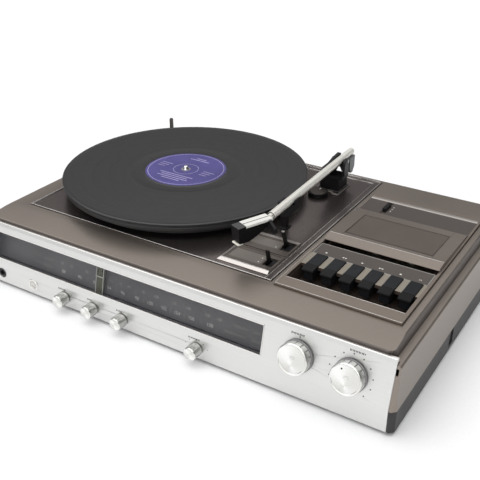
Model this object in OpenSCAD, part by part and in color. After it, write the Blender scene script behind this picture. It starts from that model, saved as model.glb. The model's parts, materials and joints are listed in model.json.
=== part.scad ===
// Stereo music centre: record deck, cassette module and long-dial radio in one low cabinet.
// Millimetres, Z up. Origin: on the table, under the middle of the whole object.
// Lengths named ..._y count from the front face of the fascia towards the rear.

/* [Cabinet] */
// Overall width of the cabinet
body_w = 528; // [524:1:536]
// Overall depth of the cabinet, fascia to rear face
body_d = 354; // [352:1:366]
// Height of the rubber feet under the base
foot_h = 4; // [3:0.5:6]
// Top of the black base band
base_top_z = 28; // [26:1:30]
// Height of the lid shoulder round the plateau
shoulder_z = 72; // [71:0.5:73]
// Height of the plateau that carries deck and cassette module
deck_z = 83; // [83:1:84]
// Width of the plateau at its top
plateau_w = 502; // [500:1:504]
// Distance of the plateau crease behind the fascia
crease_y = 45; // [40:1:50]
// Wall thickness of the mouldings
wall_t = 3; // [2.5:0.5:3]

/* [Fascia] */
// Width of the silver fascia
fascia_w = 514.6; // [510:0.2:515]
// Thickness of the folded fascia sheet
fascia_t = 2; // [1.5:0.25:2]
// Height at which the fascia folds back
fold_z = 28; // [27:0.5:29]
// Lean of the upper fascia, degrees from upright
lean = 13; // [11:0.5:14]
// Left end of the dial window
window_x0 = -238; // [-245:1:-230]
// Right end of the dial window
window_x1 = 125.4; // [110:0.2:130]
// Radius of the two large knobs
big_knob_r = 16; // [14:0.5:17]
// Radius of the four small knobs
small_knob_r = 7.6; // [6:0.1:8]
// How far a small knob stands out of the fascia
knob_out = 14; // [12:0.5:16]

/* [Turntable] */
// Diameter of the record
record_d = 301; // [300:0.5:302]
// Height of the record's playing surface
record_top = 105.3; // [104.5:0.1:105.3]
// Platter centre, from the cabinet's middle plane
platter_x = -101; // [-104:1:-98]
// Platter centre, behind the fascia
platter_y = 199; // [197:1:201]
// Radius of the centre spindle
spindle_r = 3.6; // [3.4:0.1:3.6]

/* [Tonearm] */
// Pivot of the arm, from the cabinet's middle plane
arm_x = 67; // [66:0.5:67.5]
// Pivot of the arm, behind the fascia
arm_y = 286; // [284:1:288]
// Height of the arm tube's axis
arm_z = 124; // [124:0.5:125]
// Length of the tube in front of the pivot
arm_len = 175; // [173:1:176]
// Radius of the arm tube
arm_r = 4.4; // [4:0.2:4.4]
// Turn of the arm on its rest, towards the cassette side, degrees
arm_park = 1.6; // [1:0.2:2]
// Turn of the headshell towards the spindle, degrees
head_turn = 25; // [22:1:26]

/* [Cassette] */
// Middle of the cassette module
tape_x = 176.5; // [175:0.5:178]
// Width of the module frame
tape_w = 133.5; // [132:0.5:134]
// Front edge of the module frame, behind the fascia
tape_y0 = 53.6; // [53:0.2:54]
// Rear edge of the module frame, behind the fascia
tape_y1 = 297.2; // [297:0.2:298]
// Distance from one key to the next
key_pitch = 20.7; // [20.5:0.1:20.8]
// Width of one key
key_w = 13; // [12:0.5:13]

/* [Hidden] */
$fn = 64;

half_w = body_w / 2;
// The knobs in front and the rear wall stand equally far from the origin
front_y = -(body_d - knob_out) / 2;
side_lean = 2;
rear_edge_y = body_d - 13;
lip_y = 16;
lip_z = 80;
plate_t = 1.6;
seat_z = deck_z - 1.2;
plate_top = seat_z + plate_t;
skin = 0.2;
running = 0.06;
free_gap = 0.35;

// Dial window and front row
window_z0 = 7.2;
window_z1 = 39.6;
row_z = 16.5;
big_knob_s = 21;
tune_x = 163.5;
volume_x = 217.5;
small_knob_xs = [-128, -86.5, -45.5, 51.6];
button_x = -177;
phones_x = -228;
pointer_x = -82.9;
rail_s = 43.5;
rail_in = 7.5;

// Deck plate and island
deck_x0 = -227;
deck_x1 = 104;
deck_y0 = 57;
deck_y1 = 335.5;
island_x0 = 34;
island_x1 = 95.4;
island_y0 = 64.5;
island_y1 = 138.5;
island_z = 86;
start_lever_at = [84.8, 88.5];
speed_lever_at = [83.2, 128.5];
lever_axis_z = 76;
levers_at = [start_lever_at, speed_lever_at];
antiskate_at = [52, 260];
rest_y = 161;
journal_r = 2.5;
collar_r = 2.8;
tip_r = 3.1;

// Platter stack
mat_top = record_top - 1.8;
platter_top = mat_top - 3;
rim_r = 149;
ring_r = 80;
pulley_r = 6.7;
motor_at = [platter_x - 78, platter_y - 78];
belt_z0 = 88.5;
belt_h = 4.5;

// Cassette module
tape_x0 = tape_x - tape_w / 2;
tape_x1 = tape_x + tape_w / 2;
frame_top = 85.6;
well_x0 = tape_x - 63;
well_x1 = tape_x + 63;
well_y0 = 70.5;
comb_y0 = 102;
strip_y0 = 126.5;
strip_y1 = 151.5;
key_mid = tape_x + 1.7;
key_axis = [134, 76];
bay_x0 = tape_x - 58;
bay_x1 = tape_x + 58;
bay_y0 = 157;
bay_y1 = 242;
bay_z = 62;
door_w = 129;
door_axis = [244.5, 83.8];
door_pin_r = 1.2;
door_lug_xs = [tape_x - door_w / 2 + 9, tape_x + door_w / 2 - 15];
hub_gap = 42.5;
hub_y = 205;

// A box between two corners, with its Y counted from the fascia
module slab(x0, x1, y0, y1, z0, z1) {
  translate([x0, front_y + y0, z0]) cube([x1 - x0, y1 - y0, z1 - z0]);
}

// Moves children from bench coordinates (Y from the fascia) to the part's frame
module bench(x, y, z) {
  translate([x, front_y + y, z]) children();
}

// A profile drawn in (Y from the fascia, Z), pulled along X
module along_x(x0, x1) {
  translate([x0, front_y, 0]) rotate([90, 0, 90]) linear_extrude(x1 - x0) children();
}

// A profile drawn in (X, Z), pulled along Y
module along_y(y0, y1) {
  translate([0, front_y + y1, 0]) rotate([90, 0, 0]) linear_extrude(y1 - y0) children();
}

// A cylinder whose axis runs along X
module x_rod(x0, x1, y, z, r) {
  translate([x0, front_y + y, z]) rotate([0, 90, 0]) cylinder(h = x1 - x0, r = r);
}

// A cylinder whose axis runs along Y
module y_rod(x, z, y0, y1, r) {
  translate([x, front_y + y1, z]) rotate([90, 0, 0]) cylinder(h = y1 - y0, r = r);
}

// A plate with round corners
module round_plate(x0, x1, y0, y1, z0, z1, r) {
  slab(x0 + r, x1 - r, y0, y1, z0, z1);
  slab(x0, x1, y0 + r, y1 - r, z0, z1);
  for (x = [x0 + r, x1 - r]) for (y = [y0 + r, y1 - r]) bench(x, y, z0) cylinder(h = z1 - z0, r = r);
}

// Frame of the leaning upper fascia: X along the cabinet, Y into it, Z up the slope from the fold
module on_slope(x = 0, into = 0, up = 0) {
  translate([0, front_y, fold_z]) rotate([-lean, 0, 0]) translate([x, into, up]) children();
}

module slope_box(x0, x1, in0, in1, up0, up1) {
  on_slope(x0, in0, up0) cube([x1 - x0, in1 - in0, up1 - up0]);
}

// A cylinder square to the slope, from depth in0 to depth in1
module slope_rod(x, up, in0, in1, r) {
  on_slope(x, in1, up) rotate([90, 0, 0]) cylinder(h = in1 - in0, r = r);
}

function slope_y(z) = (z - fold_z) * tan(lean);
function arc(cx, cy, r, a0, a1, n) =
  [for (i = [0:n]) let (a = a0 + (a1 - a0) * i / n) [cx + r * cos(a), cy + r * sin(a)]];

// Cabinet

// Plan of the cabinet with cut corners
module cabinet_plan(inset, cut) {
  x = half_w - inset;
  y0 = inset;
  y1 = body_d - inset;
  translate([0, front_y]) polygon([[-x + cut, y0], [x - cut, y0], [x, y0 + cut], [x, y1 - cut],
    [x - cut, y1], [-x + cut, y1], [-x, y1 - cut], [-x, y0 + cut]]);
}

module side_profile() {
  x = half_w;
  t = half_w - side_lean;
  right = concat([[x, base_top_z]], arc(t - 3, shoulder_z - 3, 3, 0, 90, 5));
  polygon(concat(right, [for (i = [len(right) - 1:-1:0]) [-right[i][0], right[i][1]]]));
}

// The raised plateau: front lip, slope to the crease, flat top, rear edge
module plateau_solid(inset) {
  px = plateau_w / 2 - inset;
  low = deck_z - 12;
  intersection() {
    along_x(-half_w, half_w) polygon([[lip_y + inset, low], [lip_y + inset, lip_z - inset - 0.8],
      [lip_y + inset + 0.8, lip_z - inset], [crease_y, deck_z - inset],
      [rear_edge_y - inset, deck_z - inset], [rear_edge_y - inset + 2, low]]);
    along_y(0, body_d) polygon([[-px - 2.6, low], [px + 2.6, low], [px, deck_z - inset - 0.8],
      [px - 0.8, deck_z - inset], [-px + 0.8, deck_z - inset], [-px, deck_z - inset - 0.8]]);
    round_plate(-px - 2.5, px + 2.5, lip_y + inset, rear_edge_y + 2 - inset, low, deck_z + 1, 10 - inset);
  }
}

module housing_outer() {
  intersection() {
    along_y(0, body_d) side_profile();
    translate([0, 0, base_top_z]) linear_extrude(50) cabinet_plan(0, 4);
    along_x(-half_w, half_w) polygon([[0, base_top_z], [body_d, base_top_z], [body_d, shoulder_z - 2],
      [body_d - 2, shoulder_z], [slope_y(shoulder_z), shoulder_z]]);
  }
  plateau_solid(0);
}

module housing() {
  color([0.49, 0.46, 0.43]) {
    difference() {
      housing_outer();
      slab(-fascia_w / 2 - skin, fascia_w / 2 + skin, -1, lip_y, base_top_z - 1, deck_z);
      slab(-half_w + 4, half_w - 4, 8, body_d - wall_t, base_top_z - 1, shoulder_z - wall_t);
      slab(-plateau_w / 2 + 3, plateau_w / 2 - 3, lip_y - 1, rear_edge_y, shoulder_z - 4, shoulder_z + 2);
      plateau_solid(wall_t);
      slab(deck_x0 - 0.6, deck_x1 + 0.6, deck_y0 - 0.6, deck_y1 + 0.6, seat_z, deck_z + 1);
      slab(deck_x0 + 8, deck_x1 - 8, deck_y0 + 8, deck_y1 - 8, shoulder_z, deck_z + 1);
      slab(tape_x0 - 0.8, tape_x1 + 0.8, tape_y0 - 0.8, tape_y1 + 0.8, seat_z, deck_z + 1);
      slab(well_x0 - 1.5, well_x1 + 1.5, tape_y0 + 6, tape_y1 - 17.8, shoulder_z, deck_z + 1);
      slab(-230, 230, body_d - wall_t - 1, body_d + 1, 32, 64);
    }
    screw_pillars(base_top_z, shoulder_z - wall_t);
  }
}

screw_at = [[-252, 26], [252, 26], [-252, 330], [252, 330]];

module screw_pillars(z0, z1) {
  for (p = screw_at) bench(p[0], p[1], z0) difference() {
    cylinder(h = z1 - z0, r = 5);
    translate([0, 0, -1]) cylinder(h = 16, r = 1.7);
  }
}

module base_tray() {
  floor_z = foot_h + 2.5;
  color([0.09, 0.09, 0.1]) difference() {
    union() {
      difference() {
        translate([0, 0, foot_h]) linear_extrude(base_top_z - foot_h) cabinet_plan(0, 4);
        translate([0, 0, floor_z]) linear_extrude(base_top_z) cabinet_plan(wall_t, 3);
        slab(-fascia_w / 2 - skin, fascia_w / 2 + skin, -1, fascia_t + skin, 0, base_top_z + 1);
      }
      slab(-fascia_w / 2, fascia_w / 2, fascia_t + skin, fascia_t + 2.7, foot_h, base_top_z - 0.5);
      for (p = screw_at) bench(p[0], p[1], foot_h) cylinder(h = base_top_z - foot_h, r = 6);
      for (x = [-150, -20, 90]) slab(x, x + 2, 40, 262, foot_h, floor_z + 3);
    }
    for (p = screw_at) bench(p[0], p[1], 0) {
      cylinder(h = base_top_z + 1, r = 2.1);
      cylinder(h = foot_h + 7, r = 4.2);
    }
    for (x = small_knob_xs) y_rod(x, row_z, -1, 12, 4);
    y_rod(button_x, row_z, -1, 12, 5);
    y_rod(phones_x, row_z, -1, 12, 7.2);
    for (p = foot_at) bench(p[0], p[1], 0) cylinder(h = 10, r = 3);
    for (side = [-1, 1]) for (i = [0:9])
      slab(side * 130 - 40 + i * 8, side * 130 - 36.5 + i * 8, 190, 250, foot_h - 1, floor_z + 0.5);
    for (side = [-1, 1]) slab(side * half_w - 2, side * half_w + 2, 147, 158, 9, base_top_z + 1);
  }
}

foot_at = [[-225, 45], [225, 45], [-225, 312], [225, 312]];

module rubber_feet() {
  color([0.07, 0.07, 0.07]) for (p = foot_at) bench(p[0], p[1], 0) {
    rotate_extrude() polygon([[0, 0], [9.5, 0], [11, 1.5], [11.5, foot_h], [2.9, foot_h],
      [2.9, foot_h + 3.5], [0, foot_h + 4.5]]);
  }
}

module case_screws() {
  color([0.6, 0.6, 0.6]) for (p = screw_at) bench(p[0], p[1], foot_h + 4) difference() {
    union() {
      cylinder(h = 3, r = 3.6);
      cylinder(h = base_top_z - foot_h + 8, r = 1.6);
    }
    for (a = [0, 90]) rotate(a) translate([-2.2, -0.4, -1]) cube([4.4, 0.8, 2.5]);
  }
}

socket_xs = [-60, -30, 30, 60];
aerial_xs = [-190, -165, -140];

module rear_panel() {
  color([0.12, 0.11, 0.11]) difference() {
    slab(-236, 236, body_d - wall_t - 2.5, body_d - wall_t, base_top_z + 0.5, 68);
    for (x = socket_xs) y_rod(x, 48, body_d - 8, body_d, 7.5);
    for (x = aerial_xs) y_rod(x, 48, body_d - 8, body_d, 4.5);
    y_rod(200, 44, body_d - 8, body_d, 5);
    for (i = [0:13]) slab(100 + i * 5.5, 102.5 + i * 5.5, body_d - 8, body_d, 38, 58);
  }
}

// A round socket in the rear panel: barrel inside, flange outside, small holes for the plug's pins
module rear_socket(x, z, r, pins) {
  difference() {
    union() {
      y_rod(x, z, body_d - 17, body_d - wall_t + 0.1, r);
      y_rod(x, z, body_d - wall_t, body_d - 1, r + 1.4);
    }
    for (p = pins) y_rod(x + p[0], z + p[1], body_d - 12, body_d, p[2]);
  }
}

module sockets() {
  five_pins = [for (a = [0:45:180]) [3.6 * cos(a), 3.6 * sin(a), 0.9]];
  color([0.08, 0.08, 0.09]) {
    for (x = socket_xs) rear_socket(x, 48, 7.4, five_pins);
    for (x = aerial_xs) rear_socket(x, 48, 4.4, [[0, 0, 1.9]]);
    rear_socket(200, 44, 4.9, [[0, 0, 1.9]]);
    difference() {
      union() {
        y_rod(phones_x, row_z, fascia_t, 26, 7);
        y_rod(phones_x, row_z, 0.3, fascia_t + 0.1, 5.4);
      }
      y_rod(phones_x, row_z, -1, 24, 3.25);
    }
  }
}

hinge_xs = [-234.5, 234.5];
hinge_y = 347.5;
hinge_z = 77;

module hinge_blocks() {
  color([0.1, 0.1, 0.1]) for (x = hinge_xs) difference() {
    union() {
      slab(x - 9, x + 9, rear_edge_y + 2.3, body_d - 1, shoulder_z, hinge_z);
      x_rod(x - 9, x + 9, hinge_y, hinge_z, 4);
    }
    slab(x - 2.2, x + 2.2, rear_edge_y, body_d + 1, shoulder_z + 0.6, hinge_z + 5);
  }
  color([0.6, 0.6, 0.6]) for (x = hinge_xs) x_rod(x - 7, x + 7, hinge_y, hinge_z, 1.2);
}

module hinge_leaf(x) {
  color([0.32, 0.3, 0.28]) difference() {
    union() {
      slab(x - 1.5, x + 1.5, hinge_y - 2.6, hinge_y + 2.6, hinge_z, hinge_z + 22);
      x_rod(x - 1.8, x + 1.8, hinge_y, hinge_z, 3);
      x_rod(x - 1.5, x + 1.5, hinge_y, hinge_z + 22, 2.6);
    }
    x_rod(x - 3, x + 3, hinge_y, hinge_z, 1.2 + running);
  }
}

module left_hinge_leaf() hinge_leaf(hinge_xs[0]);
module right_hinge_leaf() hinge_leaf(hinge_xs[1]);

// Fascia and dial

module fascia_profile() {
  z1 = 73;
  z2 = 77;
  t = fascia_t;
  polygon([[0, foot_h], [0, fold_z], [slope_y(z1), z1], [slope_y(z1) + 1.6, z2], [lip_y - 0.4, z2],
    [lip_y - 0.4, z2 - t], [slope_y(z1) + 3.2, z2 - t],
    [slope_y(z1 - 1) + t, z1 - 1], [t, fold_z + 0.2], [t, foot_h]]);
}

module fascia_panel() {
  color([0.84, 0.84, 0.83]) {
    difference() {
      along_x(-fascia_w / 2, fascia_w / 2) fascia_profile();
      slope_box(window_x0, window_x1, -2, 4, window_z0, window_z1);
      for (x = [tune_x, volume_x]) slope_rod(x, big_knob_s, -2, 5, 3.6);
      for (x = small_knob_xs) y_rod(x, row_z, -1, 4, 3.4);
      y_rod(button_x, row_z, -1, 4, 5.6);
      y_rod(phones_x, row_z, -1, 4, 5.5);
    }
    difference() {
      y_rod(button_x, row_z, -0.8, fascia_t, 5.6);
      y_rod(button_x, row_z, -1, 6, 4.55);
    }
  }
}

module dial_glass() {
  color([0.25, 0.27, 0.3, 0.4]) slope_box(window_x0 - 3, window_x1 + 3, fascia_t + 0.1, fascia_t + 2,
    window_z0 - 2.5, window_z1 + 2);
}

module dial_plate() {
  color([0.16, 0.16, 0.18]) difference() {
    union() {
      slope_box(window_x0 - 3, window_x1 + 3, 11, 12.5, window_z0 - 4, window_z1 + 2);
      slope_box(window_x0 - 3, window_x1 + 3, fascia_t + 2.1, 11.5, window_z0 - 4, window_z0 - 2.6);
      for (x = [window_x0 - 3, window_x1 + 1.5])
        slope_box(x, x + 1.5, fascia_t + 2.1, 11.5, window_z0 - 4, window_z1 + 2);
    }
  }
}

module pointer_rail() {
  color([0.75, 0.75, 0.74]) {
    slope_rod_x(window_x0, window_x1, 1.2);
    for (x = [window_x0 - 3, window_x1]) slope_box(x, x + 3, rail_in - 3, rail_in + 3, window_z1 + 2,
      rail_s + 1.5);
  }
}

module slope_rod_x(x0, x1, r) {
  on_slope(x0, rail_in, rail_s) rotate([0, 90, 0]) cylinder(h = x1 - x0, r = r);
}

module dial_pointer() {
  color([0.62, 0.62, 0.5]) difference() {
    union() {
      slope_box(pointer_x - 8, pointer_x + 8, rail_in - 2, rail_in + 2, rail_s - 2, rail_s + 1.6);
      slope_box(pointer_x - 5.4, pointer_x + 5.4, rail_in - 1, rail_in + 1, window_z0 - 1.5, rail_s - 1);
      for (x = [pointer_x - 5.4, pointer_x + 4.4])
        slope_box(x, x + 1, rail_in - 1.6, rail_in + 1, window_z0 - 1.5, rail_s - 1);
    }
    slope_rod_x(pointer_x - 10, pointer_x + 10, 1.2 + running);
  }
}

drum_at = [60, 44];
gang_y0 = 40;

module control_units() {
  color([0.45, 0.46, 0.48]) {
    for (x = [tune_x, volume_x]) difference() {
      union() {
        slope_rod(x, big_knob_s, 9, 20, 10);
        slope_rod(x, big_knob_s, fascia_t + 0.1, 9.1, 5);
      }
      slope_rod(x, big_knob_s, 0, 16, 3 + running);
    }
    for (x = small_knob_xs) difference() {
      union() {
        y_rod(x, row_z, 5, 16, 8);
        y_rod(x, row_z, fascia_t + 0.1, 5.1, 3.9);
      }
      y_rod(x, row_z, 0, 13, 2 + running);
    }
    difference() {
      slab(button_x - 7, button_x + 7, 12, 23, foot_h + 2.5, row_z + 7);
      y_rod(button_x, row_z, 11, 24, 1.8 + running);
    }
    for (x = [drum_at[0] - 18, drum_at[0] + 14]) slab(x, x + 4, gang_y0 + 4, gang_y0 + 38, foot_h + 11.6,
      drum_at[1] - 17.9);
    difference() {
      slab(drum_at[0] - 20, drum_at[0] + 20, gang_y0, gang_y0 + 42, drum_at[1] - 18, drum_at[1] + 18);
      y_rod(drum_at[0], drum_at[1], gang_y0 - 1, gang_y0 + 20, 3 + running);
    }
  }
}

module tuning_drum() {
  color([0.85, 0.84, 0.78]) {
    difference() {
      y_rod(drum_at[0], drum_at[1], gang_y0 - 7, gang_y0 - 0.5, 22);
      bench(drum_at[0], gang_y0 - 1.5, drum_at[1]) rotate([90, 0, 0]) rotate_extrude()
        polygon([[20.5, 0], [24, 0], [24, 4.4], [20.5, 4.4]]);
      for (a = [45:90:315]) bench(drum_at[0], gang_y0 + 1, drum_at[1]) rotate([90, 0, 0])
        rotate(a) translate([12, 0, 0]) cylinder(h = 12, r = 4.5);
    }
    y_rod(drum_at[0], drum_at[1], gang_y0 - 1, gang_y0 + 18, 3);
  }
}

// A turned knob on the leaning fascia: notched side, bright rim, dished face
module big_knob(x) {
  color([0.88, 0.88, 0.87]) {
    difference() {
      on_slope(x, -1, big_knob_s) rotate([90, 0, 0]) rotate_extrude() polygon([[0, 0],
        [big_knob_r + 0.6, 0], [big_knob_r + 0.6, 1.2], [big_knob_r, 1.8], [big_knob_r - 0.3, 10.6],
        [big_knob_r - 1, 11.5], [big_knob_r - 2, 11.5], [big_knob_r - 2.5, 10.9], [0, 10.9]]);
      on_slope(x, 0, big_knob_s) rotate([90, 0, 0]) for (i = [0:29]) rotate(i * 12)
        translate([big_knob_r - 0.25, -0.35, 3.4]) cube([1, 0.7, 8.2]);
    }
    slope_rod(x, big_knob_s, -2, 15, 3);
  }
}

module tuning_knob() big_knob(tune_x);
module volume_knob() big_knob(volume_x);

module small_knob(x) {
  color([0.88, 0.88, 0.87]) {
    difference() {
      bench(x, -0.8, row_z) rotate([90, 0, 0]) rotate_extrude() polygon([[0, 0], [small_knob_r, 0],
        [small_knob_r - 0.3, knob_out - 2], [small_knob_r - 1.2, knob_out - 0.8], [0, knob_out - 0.8]]);
      bench(x, 0, row_z) rotate([90, 0, 0]) for (i = [0:15]) rotate(i * 22.5)
        translate([small_knob_r - 0.5, -0.4, 2]) cube([1.2, 0.8, knob_out]);
    }
    y_rod(x, row_z, -2, 12, 2);
  }
}

module balance_knob() small_knob(small_knob_xs[0]);
module bass_knob() small_knob(small_knob_xs[1]);
module treble_knob() small_knob(small_knob_xs[2]);
module function_knob() small_knob(small_knob_xs[3]);

module power_button() {
  color([0.7, 0.7, 0.68]) difference() {
    union() {
      y_rod(button_x, row_z, -0.4, 8, 4.2);
      y_rod(button_x, row_z, 8, 20, 1.8);
    }
    bench(button_x, -5.6, row_z) sphere(r = 6.2);
  }
}

// Record deck

module deck_plate() {
  bead = 1.8;
  color([0.52, 0.5, 0.5]) difference() {
    union() {
      slab(deck_x0, deck_x1, deck_y0, deck_y1, seat_z, plate_top);
      difference() {
        slab(deck_x0, deck_x1, deck_y0, deck_y1, seat_z, plate_top + 1);
        slab(deck_x0 + bead, deck_x1 - bead, deck_y0 + bead, deck_y1 - bead, seat_z, plate_top + 2);
      }
      slab(deck_x1 - 8.4, deck_x1 - 7.2, deck_y0 + bead, deck_y1 - 9, seat_z, plate_top + 0.8);
      slab(deck_x0 + bead, deck_x1 - 7.2, deck_y1 - 9.6, deck_y1 - 8.4, seat_z, plate_top + 0.8);
    }
    bench(platter_x, platter_y, seat_z - 1) cylinder(h = 5, r = 5);
    bench(motor_at[0], motor_at[1], seat_z - 1) cylinder(h = 5, r = 11);
    bench(arm_x, arm_y, seat_z - 1) cylinder(h = 5, r = 6);
    bench(antiskate_at[0], antiskate_at[1], seat_z - 1) cylinder(h = 5, r = 2 + running);
    for (p = levers_at) slab(p[0] - 2.7, p[0] + 2.7, p[1] - 10, p[1] + 4, seat_z - 1, plate_top + 1);
  }
  color([0.52, 0.5, 0.5]) lever_brackets();
}

module control_island() {
  z0 = plate_top;
  top = island_z + 0.6;
  steps = [[island_y0 + 4.5, 99], [103.5, 131]];
  labels = [[75.5, 94.5], [112.5, 129]];
  wells = [[76.2, 92.5], [113, 132.5]];
  color([0.5, 0.47, 0.45]) difference() {
    intersection() {
      slab(island_x0, island_x1, island_y0, island_y1, z0, top);
      along_x(island_x0 - 1, island_x1 + 1) polygon([[island_y0, z0 - 1], [island_y0, z0 + 0.6],
        [island_y0 + 3, top], [island_y1 - 2, top], [island_y1, z0 + 0.5], [island_y1, z0 - 1]]);
      along_y(island_y0 - 1, island_y1 + 1) polygon([[island_x0, z0 - 1], [island_x0, z0 + 0.6],
        [island_x0 + 3, top], [island_x1, top], [island_x1, z0 - 1]]);
    }
    for (y = steps) slab(island_x0 + 5, island_x1 - 2.5, y[0], y[1], island_z, island_z + 2);
    for (y = labels) slab(island_x0 + 7, 79.5, y[0], y[1], island_z - 0.5, island_z + 2);
    slab(island_x0 + 1, island_x1 + 1, 100.2, 102.3, island_z - 0.6, island_z + 2);
    for (y = wells) slab(81.8, island_x1 - 2, y[0], y[1], island_z - 1.2, island_z + 2);
    for (p = levers_at) slab(p[0] - 2.4, p[0] + 2.4, p[1] - 9.5, p[1] + 3.5, z0 - 1, island_z + 2);
  }
}

// A blade that swings in its slot on a cross pin under the plate, leaning by kick at its top
module deck_lever(at, height, kick) {
  z = lever_axis_z;
  tip_y = at[1] + kick;
  tip_z = z + height;
  color([0.07, 0.07, 0.08]) difference() {
    union() {
      along_x(at[0] - 1.7, at[0] + 1.7) polygon([[at[1] - 2.2, z], [at[1] + 2.2, z], [tip_y + 1.9, tip_z],
        [tip_y + 0.6, tip_z + 1.6], [tip_y - 1.2, tip_z + 1.2], [tip_y - 1.6, tip_z]]);
      x_rod(at[0] - 1.7, at[0] + 1.7, at[1], z, 3.4);
    }
    x_rod(at[0] - 3, at[0] + 3, at[1], z, 1.5 + running);
  }
}

// The start lever's top is notched
module start_lever() difference() {
  deck_lever(start_lever_at, 23, -6);
  slab(start_lever_at[0] - 0.6, start_lever_at[0] + 0.6, start_lever_at[1] - 12, start_lever_at[1],
    lever_axis_z + 20.8, lever_axis_z + 26);
}
module speed_lever() deck_lever(speed_lever_at, 29, -10.5);

// The lever pins hang from the deck plate on two ears each
module lever_brackets() {
  for (p = levers_at) {
    for (s = [-1, 1]) slab(p[0] + s * 4 - 1, p[0] + s * 4 + 1, p[1] - 4, p[1] + 4, lever_axis_z - 4,
      seat_z + 0.1);
    x_rod(p[0] - 4, p[0] + 4, p[1], lever_axis_z, 1.5);
  }
}

module platter() {
  low = 87.4;
  color([0.2, 0.2, 0.2]) bench(platter_x, platter_y, 0) rotate_extrude() polygon([
    [spindle_r + running, low + 1], [14, low + 1], [14, platter_top - 2.2], [ring_r - 2, platter_top - 2.2],
    [ring_r - 2, belt_z0 - 0.5], [ring_r, belt_z0 - 0.5], [ring_r, platter_top - 2.2],
    [134, platter_top - 2.2], [134, low], [136, low], [136, platter_top - 4.5], [rim_r, platter_top - 4.5],
    [rim_r, platter_top], [spindle_r + running, platter_top]]);
}

module platter_mat() {
  groove = [[0, 0], [0.8, 1], [3.4, 1], [4.2, 0]];
  color([0.1, 0.1, 0.1]) bench(platter_x, platter_y, 0) rotate_extrude() polygon(concat(
    [[spindle_r + free_gap, platter_top], [rim_r - 0.5, platter_top], [rim_r, platter_top + 0.8],
      [rim_r, mat_top]],
    [for (i = [0:8]) for (g = groove) [rim_r - 6 - i * 10 - g[0], mat_top - g[1]]],
    [[spindle_r + free_gap, mat_top]]));
}

module record() {
  r = record_d / 2;
  color([0.08, 0.08, 0.08]) bench(platter_x, platter_y, 0) rotate_extrude() polygon([
    [spindle_r + free_gap, mat_top], [r - 1, mat_top], [r, mat_top + 0.5], [r, record_top - 0.5],
    [r - 1, record_top], [r - 3, record_top], [r - 4.5, record_top - 0.35], [54, record_top - 0.35],
    [51, record_top], [spindle_r + free_gap, record_top]]);
}

// Above the record the spindle is thinner, to lead the next record on
module centre_spindle() {
  top = record_top + 4.8;
  color([0.8, 0.8, 0.8]) bench(platter_x, platter_y, 0) rotate_extrude() polygon([[0, 58], [6, 58],
    [6, seat_z - 3], [18, seat_z - 3], [18, seat_z], [4.6, seat_z], [4.6, 87.8], [spindle_r, 88],
    [spindle_r, record_top], [tip_r, record_top + 0.5], [tip_r, top - 1.6], [tip_r - 0.6, top - 0.7],
    [tip_r - 1.6, top - 0.1], [0, top]]);
}

// Outline of a belt round two wheels: arcs joined by their outer tangents
function belt_path(d, ra, rb) = let (b = acos((ra - rb) / d))
  concat(arc(0, 0, ra, b, 360 - b, 40), arc(d, 0, rb, -b, b, 12));

module drive_belt() {
  d = norm([motor_at[0] - platter_x, motor_at[1] - platter_y]);
  a = atan2(motor_at[1] - platter_y, motor_at[0] - platter_x);
  in_r = free_gap;
  out_r = free_gap + 0.9;
  color([0.06, 0.06, 0.06]) bench(platter_x, platter_y, belt_z0) rotate(a) linear_extrude(belt_h)
    difference() {
      polygon(belt_path(d, ring_r + out_r, pulley_r + out_r));
      polygon(belt_path(d, ring_r + in_r, pulley_r + in_r));
    }
}

module deck_motor() {
  color([0.55, 0.56, 0.58]) bench(motor_at[0], motor_at[1], 0) difference() {
    union() {
      translate([0, 0, 40]) cylinder(h = 36, r = 27);
      translate([0, 0, 75.9]) cylinder(h = 2.1, r = 24);
      for (a = [0, 120, 240]) rotate(a) translate([25, 0, 70]) cylinder(h = seat_z - 70, r = 4);
    }
    translate([0, 0, 60]) cylinder(h = 20, r = 1.6 + running);
  }
}

module motor_pulley() {
  color([0.78, 0.66, 0.36]) bench(motor_at[0], motor_at[1], 0) {
    translate([0, 0, 62]) cylinder(h = 26, r = 1.6);
    translate([0, 0, 86.5]) rotate_extrude() polygon([[0, 0], [8, 0], [8, 1], [pulley_r, 1.5],
      [pulley_r, 7], [8, 7.4], [8, 8.6], [0, 8.6]]);
  }
}

// Tonearm

// Frame of the arm at rest: origin on the pivot at tube height, tube towards -Y
module arm_frame() {
  bench(arm_x, arm_y, arm_z) rotate(arm_park) children();
}

// A plate in two steps and a turret, lower at the rear where the weight dips when the arm is lifted
module arm_base() {
  foot_z = plate_top + 2.1;
  color([0.1, 0.1, 0.1]) difference() {
    bench(arm_x, arm_y, 0) {
      for (i = [0, 1]) translate([0, 0, plate_top]) linear_extrude(1.2 + i)
        polygon([[i - 25, i - 12], [i - 5, i - 12], [i - 1, i - 16], [6.5 - i, i - 16], [6.5 - i, 19 - i],
          [i - 25, 19 - i]]);
      translate([0, 0, foot_z]) linear_extrude(arm_z - 28 - foot_z)
        polygon([[-23, -6], [-20, -9], [3.5, -9], [3.5, 16], [-20, 16], [-23, 13]]);
      translate([0, 0, foot_z]) linear_extrude(arm_z - 20.8 - foot_z)
        polygon([[-23, -6], [-20, -9], [3.5, -9], [3.5, 6], [-23, 6]]);
    }
    bench(arm_x, arm_y, plate_top - 1) cylinder(h = 30, r = journal_r + running);
  }
}

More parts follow.
